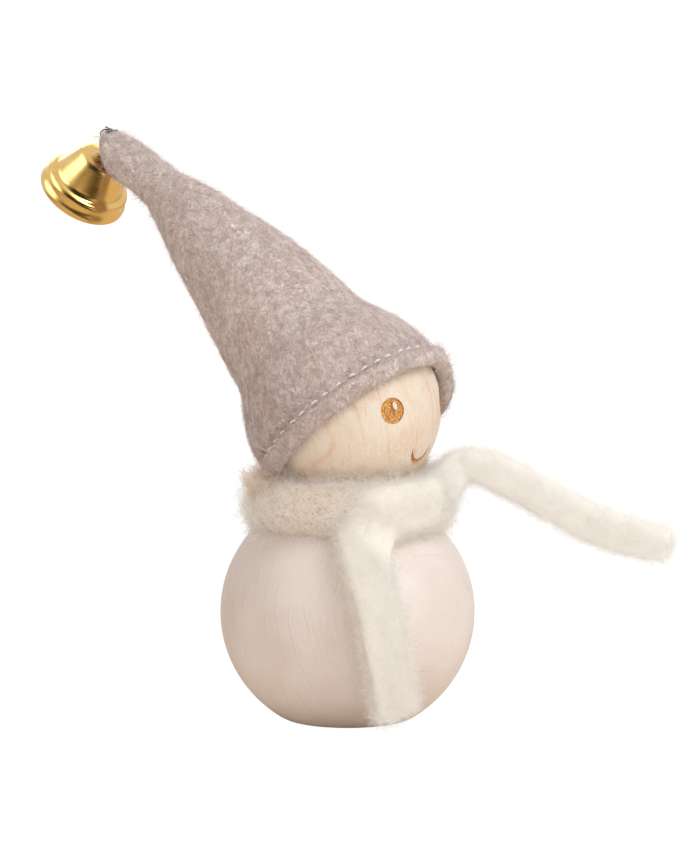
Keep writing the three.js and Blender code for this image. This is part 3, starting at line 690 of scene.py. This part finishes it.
def felt_radius(s, out):
    """One face of the felt, moved out from the inner face: a slim cone that flares into the dome."""
    share = min(max(s / TUBE_START, 0), 1)
    cone = (CONE_RADIUS * (1 - share) ** 2 + 2 * CONE_PULL_RADIUS * share * (1 - share)
            + TIP_RADIUS * share ** 2 - FELT + out)
    if s >= INNER_DOME + out:
        return cone
    dome = math.sqrt((INNER_DOME + out) ** 2 - s ** 2)
    return dome + DOME_BLEND * math.log(1 + math.exp((cone - dome) / DOME_BLEND))


def inner_radius(s):
    return felt_radius(s, 0)


def outer_radius(s):
    return felt_radius(s, FELT)


GROOVE_RADIUS = outer_radius(STITCH_S) - STITCH_PULL


def hat_outline():
    """(s, radius) from the fold up the outside, over the tip and down the inside; rows outside."""
    fold_s = RIM_S + FELT
    fold = arc((inner_radius(fold_s) + FELT, fold_s), (FELT, FELT), math.pi, 2 * math.pi, 14)[:, ::-1]
    hem_top = STITCH_S - STITCH_GROOVE
    hem = [(s, inner_radius(s) + 2 * FELT) for s in np.linspace(fold_s, hem_top, 4)[1:]]
    top = STITCH_S + STITCH_GROOVE
    groove = np.vstack([
        bend(hem[-1], (STITCH_S - 0.5, GROOVE_RADIUS), (STITCH_S, GROOVE_RADIUS), 5),
        bend((STITCH_S, GROOVE_RADIUS), (STITCH_S + 0.6, GROOVE_RADIUS), (top, outer_radius(top)), 5),
    ])
    outside = [(s, outer_radius(s)) for s in np.linspace(top, SPINE_LENGTH - 0.5, 110)[1:]]
    lip = [(SPINE_LENGTH - 0.12, TIP_RADIUS - 0.25), (SPINE_LENGTH, TIP_RADIUS - 0.7),
           (SPINE_LENGTH, TIP_RADIUS - FELT + 0.5), (SPINE_LENGTH - 0.3, TIP_RADIUS - FELT)]
    inside = [(s, inner_radius(s)) for s in np.linspace(SPINE_LENGTH - 1.5, fold_s, 60)[:-1]]
    shown = np.vstack([fold, hem, groove, outside])
    return np.vstack([shown, lip, inside]), len(shown)


def hat():
    outline, outside_rows = hat_outline()
    angle = full_turn(HAT_SEGMENTS)[None, :]
    s = np.repeat(outline[:, :1], HAT_SEGMENTS, axis=1)
    radius = np.repeat(outline[:, 1:], HAT_SEGMENTS, axis=1)
    grid = hat_points(s, radius, angle + 0 * s)
    out = unit(grid - hat_points(s, 0 * radius, angle + 0 * s))
    soft = 0.4 * lumps(grid, 13, 1) + 0.16 * lumps(grid, 3.2, 2) + 0.12 * lumps(grid, 1.1, 3)
    weight = np.where(np.arange(len(outline)) < outside_rows, 1.0, 0.35)[:, None]
    puckers = np.cos(angle * HEM_STITCHES) * np.exp(-((s - STITCH_S) / 1.6) ** 2)
    grid = grid + out * (soft * weight + 0.16 * puckers * weight)[..., None]
    piece = grid_piece("felt_hat", [grid], looks["felt"], looped=True)
    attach(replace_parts(piece, "hat_felt"), "figure")
    return grid[:outside_rows]


# Fibres

def grid_normals(grid):
    along = np.gradient(grid, axis=0)
    around = np.roll(grid, -1, axis=1) - np.roll(grid, 1, axis=1)
    normal = unit(np.cross(around, along))
    centre = grid.mean(axis=1, keepdims=True)
    return normal * np.sign(np.sum(normal * (grid - centre), axis=(1, 2), keepdims=True))


def scatter(grid, count):
    """Random places on a grid of rings, evenly by area: points, normals and row directions."""
    sides = grid.shape[1]
    along = np.diff(grid, axis=0)
    around = np.roll(grid, -1, axis=1) - grid
    area = np.linalg.norm(np.cross(along, around[:-1]), axis=-1).ravel()
    cell = rng.choice(len(area), count, p=area / area.sum())
    row, side = cell // sides, cell % sides
    a, b = rng.random((2, count, 1))

    def between(values):
        low = values[row, side] * (1 - b) + values[row, (side + 1) % sides] * b
        high = values[row + 1, side] * (1 - b) + values[row + 1, (side + 1) % sides] * b
        return low * (1 - a) + high * a

    return between(grid), unit(between(grid_normals(grid))), unit(along[row, side])


def fibres(name, grid, count, material, length, width, spread, lift, curl, steps=5):
    """Thin curly ribbons that grow out of a surface, turned from its rows by a spread in degrees."""
    root, normal, flow = scatter(grid, count)
    turn = np.radians(rng.normal(0, spread, (count, 1)))
    side = np.cross(normal, flow)
    run = (flow * np.cos(turn) + side * np.sin(turn)) * rng.choice([-1, 1], (count, 1))
    across = np.cross(normal, run)
    reach = length * rng.uniform(0.45, 1.4, (count, 1, 1))
    rise = lift * rng.random((count, 1, 1)) ** 2
    t = np.linspace(0, 1, steps)[None, :, None]
    phase = rng.uniform(0, 2 * math.pi, (count, 1, 1))
    turns = rng.uniform(0.5, 1.5, (count, 1, 1)) * 2 * math.pi
    size = curl * rng.uniform(0.3, 1.2, (count, 1, 1))
    wave = np.sin(turns * t + phase) - np.sin(phase)
    hop = np.abs(np.sin(0.5 * turns * t + phase)) * t
    points = (root[:, None] + run[:, None] * reach * t + across[:, None] * size * wave
              + normal[:, None] * (rise * reach * t + 0.6 * size * hop))
    facing = 2 * normal + rng.normal(size=(count, 3))
    flat = unit(np.cross(run, facing))[:, None] * width / 2 * (1 - 0.75 * t ** 3)
    ribbon = np.stack([points - flat, points + flat], axis=2)
    first = (np.arange(count)[:, None] * steps + np.arange(steps - 1)[None]) * 2
    quads = np.stack([first, first + 1, first + 3, first + 2], axis=-1).reshape(-1, 4)
    return make_piece(name, ribbon.reshape(-1, 3), quads.tolist(), material)


def hat_fuzz(grid):
    for name, count, length, width, lift in (
        ("felt_fuzz", 24500, 2.1, 0.05, 0.24),
        ("felt_hairs", 9000, 3.2, 0.085, 0.1),
        ("felt_strays", 2400, 3.4, 0.035, 0.6),
    ):
        piece = fibres(name, grid, count, looks["felt_fibre"], length, width, FELT_SPREAD, lift, FELT_CURL)
        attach(piece, "figure")


# Sewing thread

def tube_grid(path, radius, sides=8):
    """Rings along a path; radius may change along the path."""
    path = np.asarray(path, float)
    run = unit(np.gradient(path, axis=0))
    guide = np.array([0.3, 0.5, 0.81])
    across = unit(np.cross(run, guide))
    over = np.cross(across, run)
    turn = full_turn(sides)
    ring = across[:, None] * np.cos(turn)[:, None] + over[:, None] * np.sin(turn)[:, None]
    return path[:, None] + ring * np.broadcast_to(radius, len(path))[:, None, None]


def hem_stitches():
    """Each stitch lies in the groove and dives into the felt at both ends."""
    stitches = []
    arc_share = STITCH_LENGTH / (GROOVE_RADIUS + THREAD_RADIUS) / 2
    t = np.linspace(-1, 1, 11)
    for k in range(HEM_STITCHES):
        middle = 2 * math.pi * (k + 0.5) / HEM_STITCHES + rng.normal(0, 0.01)
        angle = middle + t * arc_share * rng.uniform(0.85, 1.1)
        radius = GROOVE_RADIUS + 0.4 - 0.75 * np.abs(t) ** 3
        s = STITCH_S + 0.12 * t * rng.uniform(-1, 1)
        path = hat_points(s, radius, angle)
        thickness = THREAD_RADIUS * np.sqrt(np.clip(1.05 - t ** 4, 0.05, 1))
        stitches.append(tube_grid(path, thickness))
    piece = grid_piece("hem_stitches", stitches, looks["white_thread"])
    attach(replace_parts(piece, "hem_thread"), "figure")


def in_tip(side, along, up):
    """A place by the open tip: to the side, out along the tip and up from its middle."""
    axis = spine_slope[-1]
    middle = np.array([0, spine[-1, 0], HEAD_Z + spine[-1, 1]])
    return (middle + np.array([side, 0, 0]) + along * np.array([0, axis[0], axis[1]])
            + up * np.array([0, -axis[1], axis[0]]))


# Bell

joints = {joint["name"]: joint for joint in frame["joints"]}
BELL_PIVOT = np.array(joints["bell_swing"]["pos_m"]) / MM
BELL_SIDE = unit(np.array(joints["bell_swing"]["axis"]))
BELL_DOWN = unit(np.array(joints["clapper_swing"]["pos_m"]) / MM - BELL_PIVOT)


def bell_outline():
    """(radius, height above the mouth) of the bell's outside, from the mouth to the crown."""
    lip = bend((BELL_MOUTH_RADIUS, 0), (9.25, 0.7), (8.95, 1.2), 10)
    groove = bend(lip[-1], (8.68, 1.7), (8.7, 2.1), 8)
    bead = bend(groove[-1], (8.85, 3.3), (7.8, 3.7), 16)
    waist = bend(bead[-1], (7.05, 3.95), (6.8, 5.0), 14)
    shoulder = np.vstack([[(5.0, 9.0)], bend((5.0, 9.0), (4.55, 10.3), (3.1, 10.5), 14)])
    crown = bend(shoulder[-1], (2.0, BELL_HEIGHT - 0.2), (BELL_CROWN_HOLE, BELL_HEIGHT), 8)
    return np.vstack([[(BELL_MOUTH_RADIUS, 0)], lip, groove, bead, waist, shoulder, crown])


def bell():
    outside = bell_outline()
    run = unit(np.gradient(outside, axis=0))
    inside = outside + np.stack([-run[:, 1], run[:, 0]], axis=-1) * BELL_WALL
    inside[0] = (BELL_MOUTH_RADIUS - BELL_WALL, 0)
    inside[-1] = (BELL_CROWN_HOLE, BELL_HEIGHT - BELL_WALL)
    half_wall = BELL_WALL / 2
    lip = arc((BELL_MOUTH_RADIUS - half_wall, 0), (half_wall, half_wall), math.pi, 2 * math.pi, 8)[1:-1]
    local = turned_grid(np.vstack([outside, inside[::-1], lip]), BELL_SEGMENTS)
    up = -BELL_DOWN
    forward = np.cross(up, BELL_SIDE)
    mouth = BELL_PIVOT + BELL_DOWN * (CROWN_BELOW_PIVOT + BELL_HEIGHT)
    grid = mouth + local @ np.array([BELL_SIDE, forward, up])
    piece = grid_piece("brass_bell", [grid], looks["brass"], looped=True)
    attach(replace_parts(piece, "bell_shell"), "bell")


def bell_thread():
    """The loop that carries the bell's eye, turns of thread over the felt's lip, and a loose end."""
    top = TIP_RADIUS + 0.1

    def strand(x):
        places = ((0.9, 1.6), (LOOP_HOLE, 2.2), (LOOP_HOLE, 3.6), (LOOP_HOLE, TIP_RADIUS))
        return [in_tip(x, along, up) for along, up in places]

    aside = BELL_SIDE * LOOP_SIDE / 2
    loop = [
        BELL_PIVOT - aside,
        BELL_PIVOT,
        BELL_PIVOT + aside,
        *strand(LOOP_SIDE),
        in_tip(LOOP_SIDE / 2, LOOP_HOLE, top),
        in_tip(-LOOP_SIDE / 2, LOOP_HOLE, top),
        *strand(-LOOP_SIDE)[::-1],
    ]
    main = tube_grid(through(np.array(loop + loop[:1]), 12)[:-1], LOOP_RADIUS)
    extra = []
    for x, low, start in ((-1.2, 1.2, 0.6), (0.3, 2.0, 0.9)):
        over_lip = [
            in_tip(x, start, top - 0.6),
            in_tip(x + 0.1, start + 0.5, top),
            in_tip(x + 0.2, 2.2, top - 0.1),
            in_tip(x + 0.1, 2.9, TIP_RADIUS - 1.0),
            in_tip(x, 2.2, TIP_RADIUS - low - 0.6),
        ]
        extra.append(tube_grid(through(np.array(over_lip), 10), LIP_THREAD_RADIUS))
    loose_end = [
        in_tip(-0.9, LOOP_HOLE, top - 0.2),
        in_tip(-1.3, LOOP_HOLE + 0.5, top + 0.5),
        in_tip(-1.7, LOOP_HOLE + 0.9, top + 0.6),
    ]
    extra.append(tube_grid(through(np.array(loose_end), 8), LOOSE_END_RADIUS))
    piece = grid_piece("hanging_thread", [main], looks["dark_thread"], looped=True)
    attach(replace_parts(piece, "bell_thread"), "figure")
    ends = grid_piece("lip_stitches", extra, looks["dark_thread"])
    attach(ends, "figure")


# Wool

def melted(piece, cell, smoothing):
    """One soft skin in place of a piece's overlapping skins."""
    remesh = piece.modifiers.new("one_skin", "REMESH")
    remesh.mode, remesh.voxel_size = "VOXEL", cell * MM
    soften = piece.modifiers.new("soften", "SMOOTH")
    soften.factor, soften.iterations = 0.5, smoothing
    graph = bpy.context.evaluated_depsgraph_get()
    mesh = bpy.data.meshes.new_from_object(piece.evaluated_get(graph))
    piece.modifiers.clear()
    mesh.polygons.foreach_set("use_smooth", [True] * len(mesh.polygons))
    piece.data = mesh
    return piece


def reach_to(middle, direction, centre_z, radius, half_height):
    """Distance from a point to an ellipsoid of revolution along a direction, in (radius, z)."""
    scale = np.array([radius, half_height])
    p = (middle - np.array([0, centre_z])) / scale
    d = direction / scale
    a, b = np.sum(d * d, axis=-1), np.sum(p * d, axis=-1)
    inside = b * b - a * (np.sum(p * p, axis=-1) - 1)
    reach = (-b - np.sqrt(np.maximum(inside, 0))) / a
    return np.where((inside > 0) & (reach > 0), reach, 1e3)


def wrap_grid():
    """Rings of the wrap: fuller in front, squeezed out behind by the hat's hem."""
    azimuth = np.linspace(0, 360, WRAP_STEPS, endpoint=False)[:, None]
    turn = full_turn(WRAP_SIDES)[None, :]
    away = np.abs((azimuth + 180) % 360 - 180)
    behind = smoothstep(away, 100, 150)
    front = 0.5 + 0.5 * np.cos(np.radians(azimuth))
    middle = np.stack([WRAP_RADIUS + 1.0 * behind, WRAP_Z - 0.3 * behind], axis=-1)
    middle = middle + np.zeros((1, WRAP_SIDES, 1))
    half_width = WRAP_HALF_WIDTH + WRAP_FRONT_WIDTH * front - 1.0 * behind
    edge = np.stack([half_width * np.cos(turn), WRAP_HALF_HEIGHT * np.sin(turn) + 0 * half_width], axis=-1)
    size = np.linalg.norm(edge, axis=-1)
    direction = edge / size[..., None]
    head = reach_to(middle, direction, HEAD_Z, HEAD_RADIUS + WOOL_GAP, HEAD_RADIUS + WOOL_GAP)
    body = reach_to(middle, direction, BODY_Z, BODY_RADIUS + WOOL_GAP, BODY_HALF_HEIGHT + WOOL_GAP)
    section = middle + direction * np.minimum(size, np.minimum(head, body))[..., None]
    grid = round_axis(section[..., 0], section[..., 1], azimuth)
    out = round_axis(direction[..., 0], direction[..., 1], azimuth)
    free = smoothstep(np.cos(turn), -0.2, 0.4)
    rough = 0.35 * lumps(grid, 5, 4) + 0.2 * lumps(grid, 1.8, 5)
    return grid + out * (rough * free)[..., None]


def band_grid(route, sides, rows, blunt_rows=6):
    """Rings along a soft flat strand; a route row is a place, its outward face, breadth and depth."""
    path = evenly(through(route, 16), rows)
    place, out, breadth, depth = path[:, :3], unit(path[:, 3:6]), path[:, 6], path[:, 7]
    run = unit(np.gradient(place, axis=0))
    across = unit(np.cross(run, out))
    over = np.cross(across, run)
    turn = full_turn(sides)
    near = np.minimum(np.arange(rows), np.arange(rows)[::-1]) / blunt_rows
    blunt = np.sqrt(np.clip(1 - (1 - np.clip(near, 0, 1)) ** 2, 0.02, 1))
    wide = np.sign(np.cos(turn)) * np.abs(np.cos(turn)) ** 0.8
    thick = np.sign(np.sin(turn)) * np.abs(np.sin(turn)) ** 0.65
    grid = (place[:, None] + across[:, None] * (breadth * blunt / 2)[:, None, None] * wide[None, :, None]
            + over[:, None] * (depth * blunt / 2)[:, None, None] * thick[None, :, None])
    out_ring = unit(grid - place[:, None])
    return grid + out_ring * (0.3 * lumps(grid, 5, 6) + 0.08 * lumps(grid, 1.8, 7))[..., None]


def route_row(azimuth, radius, z, breadth, depth, tilt=0.0, turn=0.0):
    """A route row that faces out of the figure, tilted up and turned aside by some degrees."""
    lean = math.radians(tilt)
    face = outward(azimuth + turn) * math.cos(lean) + np.array([0, 0, math.sin(lean)])
    return np.concatenate([place_at(azimuth, radius, z), face, [breadth, depth]])


def over_route():
    """The smooth turn of the strand that lies over the front of the wrap."""
    return np.array([
        route_row(64, 15.6, 44.0, 8.0, 3.0, 8),
        route_row(46, 17.2, 44.2, 9.2, 3.8, 6),
        route_row(24, 18.2, 44.2, 9.6, 4.4, 4),
        route_row(0, 18.7, 44.1, 9.8, 4.6, 4),
        route_row(-24, 18.9, 43.8, 10.0, 4.6, 4),
        route_row(-40, 19.0, 43.4, 10.0, 4.4, 4),
        route_row(-57, 18.3, 43.1, 8.8, 3.6, 4),
    ])


def turn_route():
    """Fills the corner where the strand turns down into its front tail."""
    return np.array([
        route_row(-10, 18.5, 43.9, 9.0, 4.6, 4),
        route_row(-28, 18.6, 43.2, 9.8, 4.7, 6),
        route_row(-41, 18.8, 42.0, 11.4, 4.6, 10),
        route_row(-46.5, 20.0, 38.2, 10.4, 4.4, 26, 6),
        route_row(-47, 23.0, 33.6, 8.8, 4.0, 28, 18),
        route_row(-45.5, 25.7, 28.6, 8.0, 3.6, 14, 24),
    ])


def front_route():
    """Out of the smooth turn over the wrap, down over the body."""
    return np.array([
        route_row(-48, 16.6, 46.2, 6.6, 2.4, 40),
        route_row(-49.5, 18.0, 44.6, 7.6, 3.0, 16),
        route_row(-51, 18.3, 42.0, 8.6, 3.4, 8, 4),
        route_row(-51, 20.2, 38.2, 9.2, 3.8, 28, 16),
        route_row(-49.4, 23.6, 33.6, 9.4, 3.8, 28, 26),
        route_row(-46.4, 26.6, 27.4, 9.4, 3.8, 12, 28),
        route_row(-43.8, 27.5, 20.4, 9.6, 3.8, 0, 28),
        route_row(-40.4, 27.2, 12.0, 9.6, 3.8, -4, 28),
        route_row(-37, 26.0, 5.2, 9.0, 3.6, -8, 22),
    ])


def edge_route():
    """The tail's lifted edge, where its loose fibres hang over the body."""
    route = front_route()[2:]
    aside = unit(np.cross(route[:, 3:6], [0, 0, 1.0]))
    route[:, :3] += aside * (route[:, 6:7] / 2 - 0.4) - unit(route[:, 3:6]) * 1.2
    route[:, 6:8] = (1.4, 1.2)
    return route


def flying_route():
    """Out of the wrap's top and off into the air."""
    radius, z = FLYING_ROOT
    face = -sideways(FLYING_AZIMUTH)
    rows = []
    for place, breadth, depth in (
        (place_at(0, 17.4, 44.8), 7.4, 4.4),
        (place_at(18, 19.0, 46.6), 7.0, 4.2),
    ):
        rows.append(np.concatenate([place, face, [breadth, depth]]))
    for out, up, breadth, depth in (
        (1.6, 0.2, 6.4, 3.8), (5.4, 1.0, 6.2, 3.8), (11.8, -1.6, 6.6, 3.8), (18.5, -5.2, 6.8, 3.8),
        (29.3, -10.8, 7.0, 3.8), (37.5, -13.5, 6.8, 3.8), (43.6, -14.7, 6.4, 3.6),
    ):
        place = place_at(FLYING_AZIMUTH, radius + out, z + up)
        rows.append(np.concatenate([place, face, [breadth, depth]]))
    return np.array(rows)


def haze_grid():
    """A thin band over the wrap's upper edge, up the head in front and up the felt behind."""
    azimuth = np.linspace(0, 360, 180, endpoint=False)
    away = np.abs((azimuth + 180) % 360 - 180)
    behind = smoothstep(away, 95, 125)
    rise = np.linspace(0, 1, 9)[:, None]
    z = HAZE_LOW + HAZE_HEIGHT * rise - behind * 1.5
    on_head = np.sqrt(HEAD_RADIUS ** 2 - (HEAD_Z - z) ** 2) + 0.4 + 3.4 * (1 - rise) ** 2
    radius = on_head * (1 - behind) + (20.2 + 1.8 * rise - 6 * smoothstep(away, 125, 145)) * behind
    return round_axis(radius, z, azimuth)


def wool_piece(name, grids, node, look, looped=False):
    piece = grid_piece(name, grids, looks[look], looped)
    if len(grids) > 1:
        melted(piece, MELT_CELL, MELT_SMOOTHING)
    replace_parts(piece, node)
    return piece


def wool_fuzz(name, grid, count, length, width, spread, lift, curl, look="wool_fibre"):
    steps = 7 if length > LONG_FIBRE else 5
    piece = fibres(name, grid, count, looks[look], length, width, spread, lift, curl, steps)
    return piece


def scarf():
    wrap = wrap_grid()
    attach(wool_piece("wool_wrap", [wrap], "scarf_wrap", "gap_shade_wool", looped=True), "figure")
    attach(wool_fuzz("wool_wrap_fuzz", wrap, 9000, 3.4, 0.05, 60, 0.2, 0.8), "figure")
    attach(wool_fuzz("wool_wrap_curls", wrap, 11000, 5.6, 0.075, 75, 0.34, 1.8), "figure")
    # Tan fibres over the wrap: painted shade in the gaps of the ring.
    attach(wool_fuzz("wool_wrap_shade_tan", wrap, 1000, 4.0, 0.06, 70, 0.14, 1.2, "shade_tan_fibre"), "figure")
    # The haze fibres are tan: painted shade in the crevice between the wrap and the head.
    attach(wool_fuzz("wool_haze", haze_grid(), 3600, 2.8, 0.06, 60, 0.3, 0.9, "shade_tan_fibre"), "figure")

    over = band_grid(over_route(), BAND_SIDES, 160, 14)
    turn = band_grid(turn_route(), BAND_SIDES, 120, 14)
    front = band_grid(front_route(), BAND_SIDES, 220)
    edge = band_grid(edge_route(), 16, 160)
    front_pieces = [
        wool_piece("wool_front_tail", [over, turn, front], "scarf_front_tail", "wool"),
        wool_fuzz("wool_over_fuzz", over, 12000, 3.0, 0.035, 55, 0.45, 0.8),
        wool_fuzz("wool_turn_fuzz", turn, 3000, 2.8, 0.035, 55, 0.3, 0.8),
        wool_fuzz("wool_front_fuzz", front, 24000, 3.2, 0.035, 60, 0.6, 0.9),
        # Tan fibres on the tail's left edge: painted shadow along the edge that hangs over the body.
        wool_fuzz("wool_edge_fuzz", edge, 1500, 2.4, 0.045, 60, 0.3, 0.7, "shade_tan_fibre"),
    ]
    for piece in front_pieces:
        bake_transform(piece)

    flying = band_grid(flying_route(), BAND_SIDES, 180)
    flying_pieces = [
        wool_piece("wool_flying_tail", [flying], "scarf_flying_tail", "lit_copy_wool"),
        wool_fuzz("wool_flying_fuzz", flying, 24000, 2.8, 0.035, 60, 0.5, 0.8),
    ]
    for piece in flying_pieces:
        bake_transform(piece)


# Pieces that keep their own solids

def dress(node, look):
    mesh = frame["nodes"][node].data
    mesh.materials.clear()
    mesh.materials.append(looks[look])


# Stage

def camera():
    data = bpy.data.cameras.new("camera")
    data.sensor_width = SENSOR
    data.lens = PIXELS_PER_MM * SENSOR * VIEW_DISTANCE / FRAME_HEIGHT
    lift = math.radians(VIEW_ELEVATION)
    back = outward(VIEW_AZIMUTH) * math.cos(lift) + np.array([0, 0, math.sin(lift)])
    aim = np.array([0, 0, AIM_HEIGHT]) + sideways(VIEW_AZIMUTH) * AIM_RIGHT
    item = bpy.data.objects.new("camera", data)
    item.location = Vector((aim + back * VIEW_DISTANCE) * MM)
    item.rotation_mode = "QUATERNION"
    item.rotation_quaternion = Vector(-back).to_track_quat("-Z", "Y")
    bpy.context.scene.collection.objects.link(item)
    bpy.context.scene.camera = item


def in_view(right, up, near):
    """A place or a direction as the picture shows it."""
    return sideways(VIEW_AZIMUTH) * right + outward(VIEW_AZIMUTH) * near + np.array([0, 0, up])


def lamp(name, right, near, up, size, power, colour=(1, 1, 1), in_gloss=True):
    """A soft square lamp, placed in millimetres as the picture shows it."""
    data = bpy.data.lights.new(name, "AREA")
    data.size = size * MM
    data.energy = power
    data.color = colour
    item = bpy.data.objects.new(name, data)
    item.location = Vector(in_view(right, up, near) * MM)
    item.visible_glossy = in_gloss
    aim = Vector((0, 0, AIM_HEIGHT * MM)) - item.location
    item.rotation_mode = "QUATERNION"
    item.rotation_quaternion = aim.to_track_quat("-Z", "Y")
    bpy.context.scene.collection.objects.link(item)


def towards(tree, direction, low, high, from_level, to_level):
    """A level that changes where a ray's direction comes near to this one."""
    ray = add(tree, "ShaderNodeTexCoord").outputs["Generated"]
    near = dot_of(tree, ray, unit(direction))
    return span(tree, near, low, high, from_level, to_level)


def world(level):
    """White to the camera, plain soft light of this level, and a studio with dark gaps in the gloss."""
    made = bpy.data.worlds.new("studio")
    bpy.context.scene.world = made
    made.use_nodes = True
    tree = made.node_tree
    tree.nodes.clear()
    path = add(tree, "ShaderNodeLightPath")
    shown = math_of(tree, "MAXIMUM", path.outputs["Is Camera Ray"], path.outputs["Is Transmission Ray"])
    gloss = towards(tree, in_view(0.1, 0.1, 1.0), 0.5, 0.9, 0.9, 0.03)
    gloss = math_of(tree, "ADD", gloss, towards(tree, in_view(-1.0, 0.7, 0.4), 0.86, 0.95, 0.0, 2.4))
    gloss = math_of(tree, "ADD", gloss, towards(tree, in_view(0.8, 0.8, 0.5), 0.9, 0.96, 0.0, 2.0))
    change = math_of(tree, "SUBTRACT", gloss, level)
    change = math_of(tree, "MULTIPLY", path.outputs["Is Glossy Ray"], change)
    strength = math_of(tree, "ADD", change, level)
    strength = math_of(tree, "MAXIMUM", strength, shown)
    plain = math_of(tree, "MAXIMUM", shown, path.outputs["Is Glossy Ray"])
    tint = mixed(tree, plain, (1, 0.94, 0.87, 1), (1, 1, 1, 1))
    light = add(tree, "ShaderNodeBackground", {"Color": tint, "Strength": strength})
    add(tree, "ShaderNodeOutputWorld", {"Surface": light.outputs[0]})


def floor():
    """A pale floor that shows white and keeps a faint shadow."""
    material = bpy.data.materials.new("floor")
    material.use_nodes = True
    tree = material.node_tree
    tree.nodes.clear()
    glow = add(tree, "ShaderNodeEmission", {"Color": (1, 1, 1, 1), "Strength": 0.97})
    shade = add(tree, "ShaderNodeBsdfDiffuse", {"Color": (0.12, 0.12, 0.12, 1)})
    shown = add(tree, "ShaderNodeAddShader", {0: glow.outputs[0], 1: shade.outputs[0]})
    path = add(tree, "ShaderNodeLightPath")
    place = add(tree, "ShaderNodeTexCoord").outputs["Object"]
    place = add(tree, "ShaderNodeVectorMath", {0: place}, operation="NORMALIZE").outputs[0]
    in_front = dot_of(tree, place, in_view(-0.05, 0, 1.0))
    gloss = mixed(tree, span(tree, in_front, 0.82, 0.98), (0.88, 0.74, 0.56, 1), (0.1, 0.08, 0.05, 1))
    colour = mixed(tree, path.outputs["Is Glossy Ray"], (0.9, 0.8, 0.7, 1), gloss)
    plain = add(tree, "ShaderNodeBsdfDiffuse", {"Color": colour})
    direct = math_of(tree, "MAXIMUM", path.outputs["Is Camera Ray"], path.outputs["Is Transmission Ray"])
    chosen = add(tree, "ShaderNodeMixShader", {0: direct, 1: plain.outputs[0], 2: shown.outputs[0]})
    add(tree, "ShaderNodeOutputMaterial", {"Surface": chosen.outputs[0]})
    reach = 3000
    corners = [(-reach, -reach, 0), (reach, -reach, 0), (reach, reach, 0), (-reach, reach, 0)]
    make_piece("floor", np.array(corners, float), [(0, 1, 2, 3)], material)


camera()
lamp("key", right=440, near=360, up=520, size=330, power=2.8, colour=(0.86, 0.95, 1.0))
lamp("fill", right=-40, near=650, up=260, size=500, power=1.1, in_gloss=False)
lamp("back", right=-60, near=-600, up=420, size=500, power=1.6)
world(level=0.5)
floor()
body_ball()
head_ball()
hat_fuzz(hat())
hem_stitches()
bell()
bell_thread()
scarf()
dress("bell_hanger", "brass")
dress("bell_clapper", "brass")
dress("neck_dowel", "dowel_wood")
dress("scarf_wire", "wire")

bpy.context.scene.view_settings.view_transform = "Standard"
